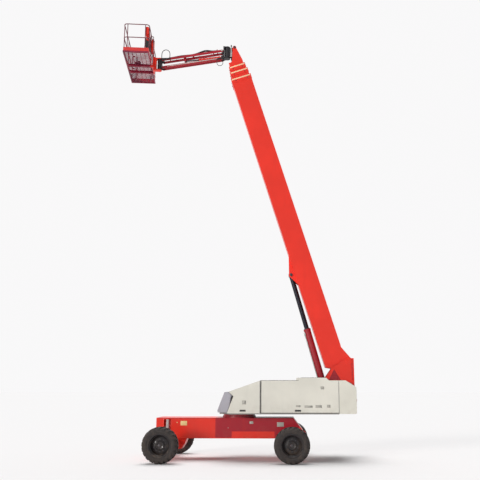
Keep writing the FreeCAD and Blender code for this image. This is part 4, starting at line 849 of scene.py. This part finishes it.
class CylinderTrim(bpy.types.Operator):
    """Gland bolts, hard lines and their clamps on the cylinders"""
    bl_idname = "boomlift.cylinder_trim"
    bl_label = "Cylinder trim"

    def execute(self, context):
        foot = LIFT_FOOT
        along = (boom_at(*LIFT_EYE) - foot).normalized()
        front = along.cross(Y).normalized()
        if front.x < 0:
            front = -front
        bm = bmesh.new()
        end = foot + along * 2.408
        for y, x in circle(12, 0.106):
            add_bolt(bm, end + Y * y + front * x, along, 0.022, washer=False)
        add_bar(bm, end, end + along * 0.03, 0.094, 32, bevel=0.006)
        piece("lift_gland", bm, "lift_cylinder", "dark_steel")
        bm = bmesh.new()
        for side in (0.07, -0.07):
            start = foot + along * 0.32 + front * 0.128 + Y * side
            add_bar(bm, start, foot + along * 2.2 + front * 0.128 + Y * side, 0.011, 12)
            for at in (0.5, 1.2, 1.9):
                add_box(bm, foot + along * at + front * 0.124 + Y * side, (0.03, 0.05, 0.02), 0.003,
                        turn=lying_along(along))
        add_box(bm, foot + along * 2.25 + front * 0.125, (0.1, 0.2, 0.05), 0.006, turn=lying_along(along))
        piece("lift_hard_lines", bm, "lift_cylinder", "zinc")
        foot = JIB_FOOT
        along = (jib_at(*JIB_EYE) - foot).normalized()
        over = Vector((-along.z, 0, along.x))
        bm = bmesh.new()
        add_bar(bm, foot + along * 0.895, foot + along * 0.915, 0.036, 24, bevel=0.003)
        for at in (0.12, 0.82):
            add_box(bm, foot + along * at + over * 0.042, (0.05, 0.035, 0.022), 0.004, turn=lying_along(along))
        add_bar(bm, foot + along * 0.14 + over * 0.046, foot + along * 0.8 + over * 0.046, 0.006, 10)
        piece("jib_cylinder_fittings", bm, "jib_cylinder", "dark_steel")
        return {"FINISHED"}


class JibTrim(bpy.types.Operator):
    """Bracket strip, swing bolts, clamps, a white painted highlight along the lower arm and pin nuts on the jib"""
    bl_idname = "boomlift.jib_trim"
    bl_label = "Jib trim"

    def execute(self, context):
        bm = bmesh.new()
        for side in (1, -1):
            add_box(bm, (0.427, side * 0.141, 15.02), (0.04, 0.006, 0.42), 0.002)
        piece("bracket_strip", bm, "level_bracket", "zinc")
        bm = bmesh.new()
        for x, y in circle(10, 0.08):
            add_bolt(bm, (0.582 + x, y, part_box("jib_base")[1].z), Z, 0.018)
        piece("swing_bolts", bm, "jib_base", "dark_steel")
        run = Vector((math.cos(JIB_TILT), 0, math.sin(JIB_TILT)))
        bm = bmesh.new()
        for i in range(4):
            at = Vector((JIB_BASE_X, 0, UPPER_PIN_Z)) + run * (0.45 + i * 0.45)
            for side in (1, -1):
                add_box(bm, at + Vector((0, side * 0.117, 0.048)), (0.05, 0.03, 0.012), 0.003, turn=JIB_TURN)
        piece("jib_upper_arm_clamps", bm, "jib_upper_arm", "dark_steel")
        # A white strip along each side of the lower arm: a painted highlight.
        bm = bmesh.new()
        for side in (1, -1):
            at = Vector((JIB_BASE_X, side * 0.098, LOWER_PIN_Z)) + run * 1.14
            add_box(bm, at + Z * 0.012, (1.95, 0.004, 0.026), 0.001, turn=JIB_TURN)
        piece("jib_lower_arm_painted_highlight", bm, "jib_lower_arm", "plate_white")
        bm = bmesh.new()
        for z, half in ((UPPER_PIN_Z, 0.138), (LOWER_PIN_Z, 0.103)):
            for side in (1, -1):
                at = Vector((JIB_BASE_X, side * half, z))
                add_bar(bm, at, at + Y * side * 0.008, 0.034, 24, bevel=0.002)
                add_bolt(bm, at + Y * side * 0.006, Y * side, 0.02, washer=False)
        piece("jib_base_pin_nuts", bm, "jib_base", "zinc")
        return {"FINISHED"}


class PlatformTrim(bpy.types.Operator):
    """Console controls, blank plates, rail sockets and bolts on the platform"""
    bl_idname = "boomlift.platform_trim"
    bl_label = "Platform trim"

    def execute(self, context):
        turn = Matrix.Rotation(PLATFORM_YAW, 4, "Z")
        base = Matrix.Translation(PLATFORM_AXIS) @ turn

        def at(x, y, z):
            return base @ Vector((x, y, z))

        slope = Vector((0.84, 0, 0.543))
        facing = turn @ Matrix.Rotation(math.radians(57.1), 4, "Y")

        def on_slope(y, out=0.0):
            return at(*(Vector((0.4825, y, 0.9425)) + slope * out))

        bm = bmesh.new()
        for y in (0.22, 0.355, 0.49):
            add_bar(bm, at(0.42, y, 0.992), at(0.42, y, 1.012), 0.028, 20, end_radius=0.016)
            add_bar(bm, at(0.42, y, 1.005), at(0.426, y, 1.05), 0.008, 12)
            add_bar(bm, at(0.426, y, 1.042), at(0.428, y, 1.076), 0.018, 20, bevel=0.007)
        for i in range(6):
            y = 0.185 + i * 0.05
            add_bar(bm, on_slope(y), on_slope(y, 0.012), 0.007, 10)
        add_bar(bm, at(0.4, 0.24, 0.56), at(0.4, 0.24, 0.605), 0.024, 16, bevel=0.004)
        add_box(bm, at(0.51, 0.355, 0.79), (0.01, 0.34, 0.16), 0.003, turn=turn)
        add_box(bm, at(0.78, 0.3, 0.075), (0.22, 0.14, 0.05), 0.012, turn=turn)
        add_box(bm, at(0.74, 0.3, 0.12), (0.1, 0.12, 0.02), 0.006, turn=turn)
        piece("console_controls", bm, "platform", "black_plastic")
        bm = bmesh.new()
        add_bar(bm, on_slope(0.51), on_slope(0.51, 0.018), 0.012, 16)
        add_bar(bm, on_slope(0.51, 0.016), on_slope(0.51, 0.03), 0.022, 24, bevel=0.005)
        piece("console_stop_button", bm, "platform", "button_red")
        bm = bmesh.new()
        add_box(bm, on_slope(0.31, 0.001), (0.07, 0.28, 0.003), 0.001, turn=facing)
        add_box(bm, at(0.297, 0.0, 0.13), (0.002, 0.5, 0.08), 0.001, turn=turn)
        piece("console_plates", bm, "platform", "plate_grey")
        bm = bmesh.new()
        half, deep = 1.22, 1.19
        posts = [(0.29, y) for y in (-1.09, -0.31, 0.31, 0.6, 1.09)] + [(deep, y) for y in (-1.09, 0.0, 1.09)]
        posts += [(x, y) for x in (0.42, 1.06) for y in (half, -half)]
        for x, y in posts:
            add_bar(bm, at(x, y, 0.19), at(x, y, 0.25), 0.022, 20, bevel=0.004)
            add_bar(bm, at(x, y, 0.575), at(x, y, 0.605), 0.02, 20, bevel=0.003)
        piece("rail_sockets", bm, "platform", "rails")
        bm = bmesh.new()
        for y in (0.38, 0.53):
            add_box(bm, at(0.174, y, 0.84), (0.006, 0.03, 0.05), 0.002, turn=turn)
            add_box(bm, at(0.174, y, 0.5), (0.006, 0.04, 0.02), 0.002, turn=turn)
        for y in (-0.26, 0.26):
            for x in (0.4, 0.7, 1.0):
                add_bolt(bm, at(x, y, -0.06), -Z, 0.022)
        piece("platform_fasteners", bm, "platform", "dark_steel")
        return {"FINISHED"}


class Stage(bpy.types.Operator):
    """Floor, light and camera"""
    bl_idname = "boomlift.stage"
    bl_label = "Stage"

    def floor(self, colour):
        f = Finish("stage floor")
        ray = f.node("ShaderNodeLightPath", out="Is Camera Ray")
        glow = f.node("ShaderNodeEmission", None, {"Color": (0.94, 0.935, 0.935), "Strength": ray * 0.06})
        f.set(Base_Color=f.mix(f.noise(0.4, 2) * 0.03, tuple(colour), (0.6, 0.6, 0.6)), Roughness=0.95,
              Specular_IOR_Level=0.0)
        both = f.tree.nodes.new("ShaderNodeAddShader")
        f.tree.links.new(f.shader.outputs[0], both.inputs[0])
        f.tree.links.new(glow.socket, both.inputs[1])
        f.tree.links.new(both.outputs[0], f.output.inputs["Surface"])
        bm = bmesh.new()
        bmesh.ops.create_grid(bm, x_segments=1, y_segments=1, size=400)
        mesh = bpy.data.meshes.new("floor")
        bm.to_mesh(mesh)
        bm.free()
        mesh.materials.append(f.material)
        made = bpy.data.objects.new("stage_floor", mesh)
        bpy.context.scene.collection.objects.link(made)

    def world(self, strength):
        world = bpy.data.worlds.new("sky")
        bpy.context.scene.world = world
        world.use_nodes = True
        nodes, links = world.node_tree.nodes, world.node_tree.links
        nodes.clear()
        path = nodes.new("ShaderNodeLightPath")
        seen = path.outputs["Is Camera Ray"]
        for ray in ("Is Transmission Ray", "Is Glossy Ray"):
            either = nodes.new("ShaderNodeMath")
            either.operation = "MAXIMUM"
            links.new(seen, either.inputs[0])
            links.new(path.outputs[ray], either.inputs[1])
            seen = either.outputs[0]
        light, white = nodes.new("ShaderNodeBackground"), nodes.new("ShaderNodeBackground")
        light.inputs["Color"].default_value = (0.95, 0.975, 1.0, 1)
        light.inputs["Strength"].default_value = strength
        white.inputs["Color"].default_value = (0.945, 0.94, 0.945, 1)
        mixed, out = nodes.new("ShaderNodeMixShader"), nodes.new("ShaderNodeOutputWorld")
        links.new(seen, mixed.inputs[0])
        links.new(light.outputs[0], mixed.inputs[1])
        links.new(white.outputs[0], mixed.inputs[2])
        links.new(mixed.outputs[0], out.inputs["Surface"])

    def sun(self, name, strength, toward, angle, colour=(1, 1, 1)):
        data = bpy.data.lights.new(name, "SUN")
        data.energy, data.angle, data.color = strength, math.radians(angle), colour
        lamp = bpy.data.objects.new(name, data)
        lamp.rotation_euler = Vector(toward).to_track_quat("Z", "Y").to_euler()
        bpy.context.scene.collection.objects.link(lamp)

    def execute(self, context):
        s = context.scene.boomlift_stage
        scene = context.scene
        scene.view_settings.view_transform = "Standard"
        self.floor(s.floor)
        self.world(s.sky)
        self.sun("key", s.key, (0.05, -0.2, 0.98), 50, (1.0, 0.99, 0.98))
        self.sun("front", s.key * 0.66, (0.66, 0.74, 0.16), 14, (1.0, 0.98, 0.95))
        data = bpy.data.cameras.new("camera")
        data.lens, data.sensor_width, data.shift_x, data.shift_y = s.lens, 36.0, -0.07, 0.07
        data.clip_start, data.clip_end = 0.1, 500
        camera = bpy.data.objects.new("camera", data)
        look = Vector((math.sin(s.turn) * math.cos(s.tilt), -math.cos(s.turn) * math.cos(s.tilt), math.sin(s.tilt)))
        camera.location = s.place
        camera.rotation_euler = look.to_track_quat("-Z", "Y").to_euler()
        scene.collection.objects.link(camera)
        scene.camera = camera
        return {"FINISHED"}


class SidePanel(bpy.types.Panel):
    """Lists the steps in the sidebar"""
    bl_idname = "BOOMLIFT_PT_side"
    bl_label = "Boom lift"
    bl_space_type = "VIEW_3D"
    bl_region_type = "UI"
    bl_category = "Boom lift"

    def draw(self, context):
        for step in STEPS:
            self.layout.operator(step.bl_idname)
        for group in GROUPS:
            settings = getattr(context.scene, group)
            for name in GROUPS[group].__annotations__:
                self.layout.prop(settings, name)


GROUPS = {"boomlift_tyres": TyreSettings, "boomlift_stripes": StripeSettings, "boomlift_stage": StageSettings}
STEPS = (FinishNodes, Hoses, Tyres, WheelFittings, ChassisFittings, TurntableTrim, BoomTrim, CylinderTrim, JibTrim,
         PlatformTrim, Stage)


def register():
    for made in (*GROUPS.values(), *STEPS, SidePanel):
        bpy.utils.register_class(made)
    for name, group in GROUPS.items():
        setattr(bpy.types.Scene, name, PointerProperty(type=group))


def unregister():
    for name in GROUPS:
        delattr(bpy.types.Scene, name)
    for made in reversed((*GROUPS.values(), *STEPS, SidePanel)):
        bpy.utils.unregister_class(made)


def main():
    register()
    for step in STEPS:
        group, name = step.bl_idname.split(".")
        getattr(getattr(bpy.ops, group), name)()


if __name__ == "__main__":
    main()
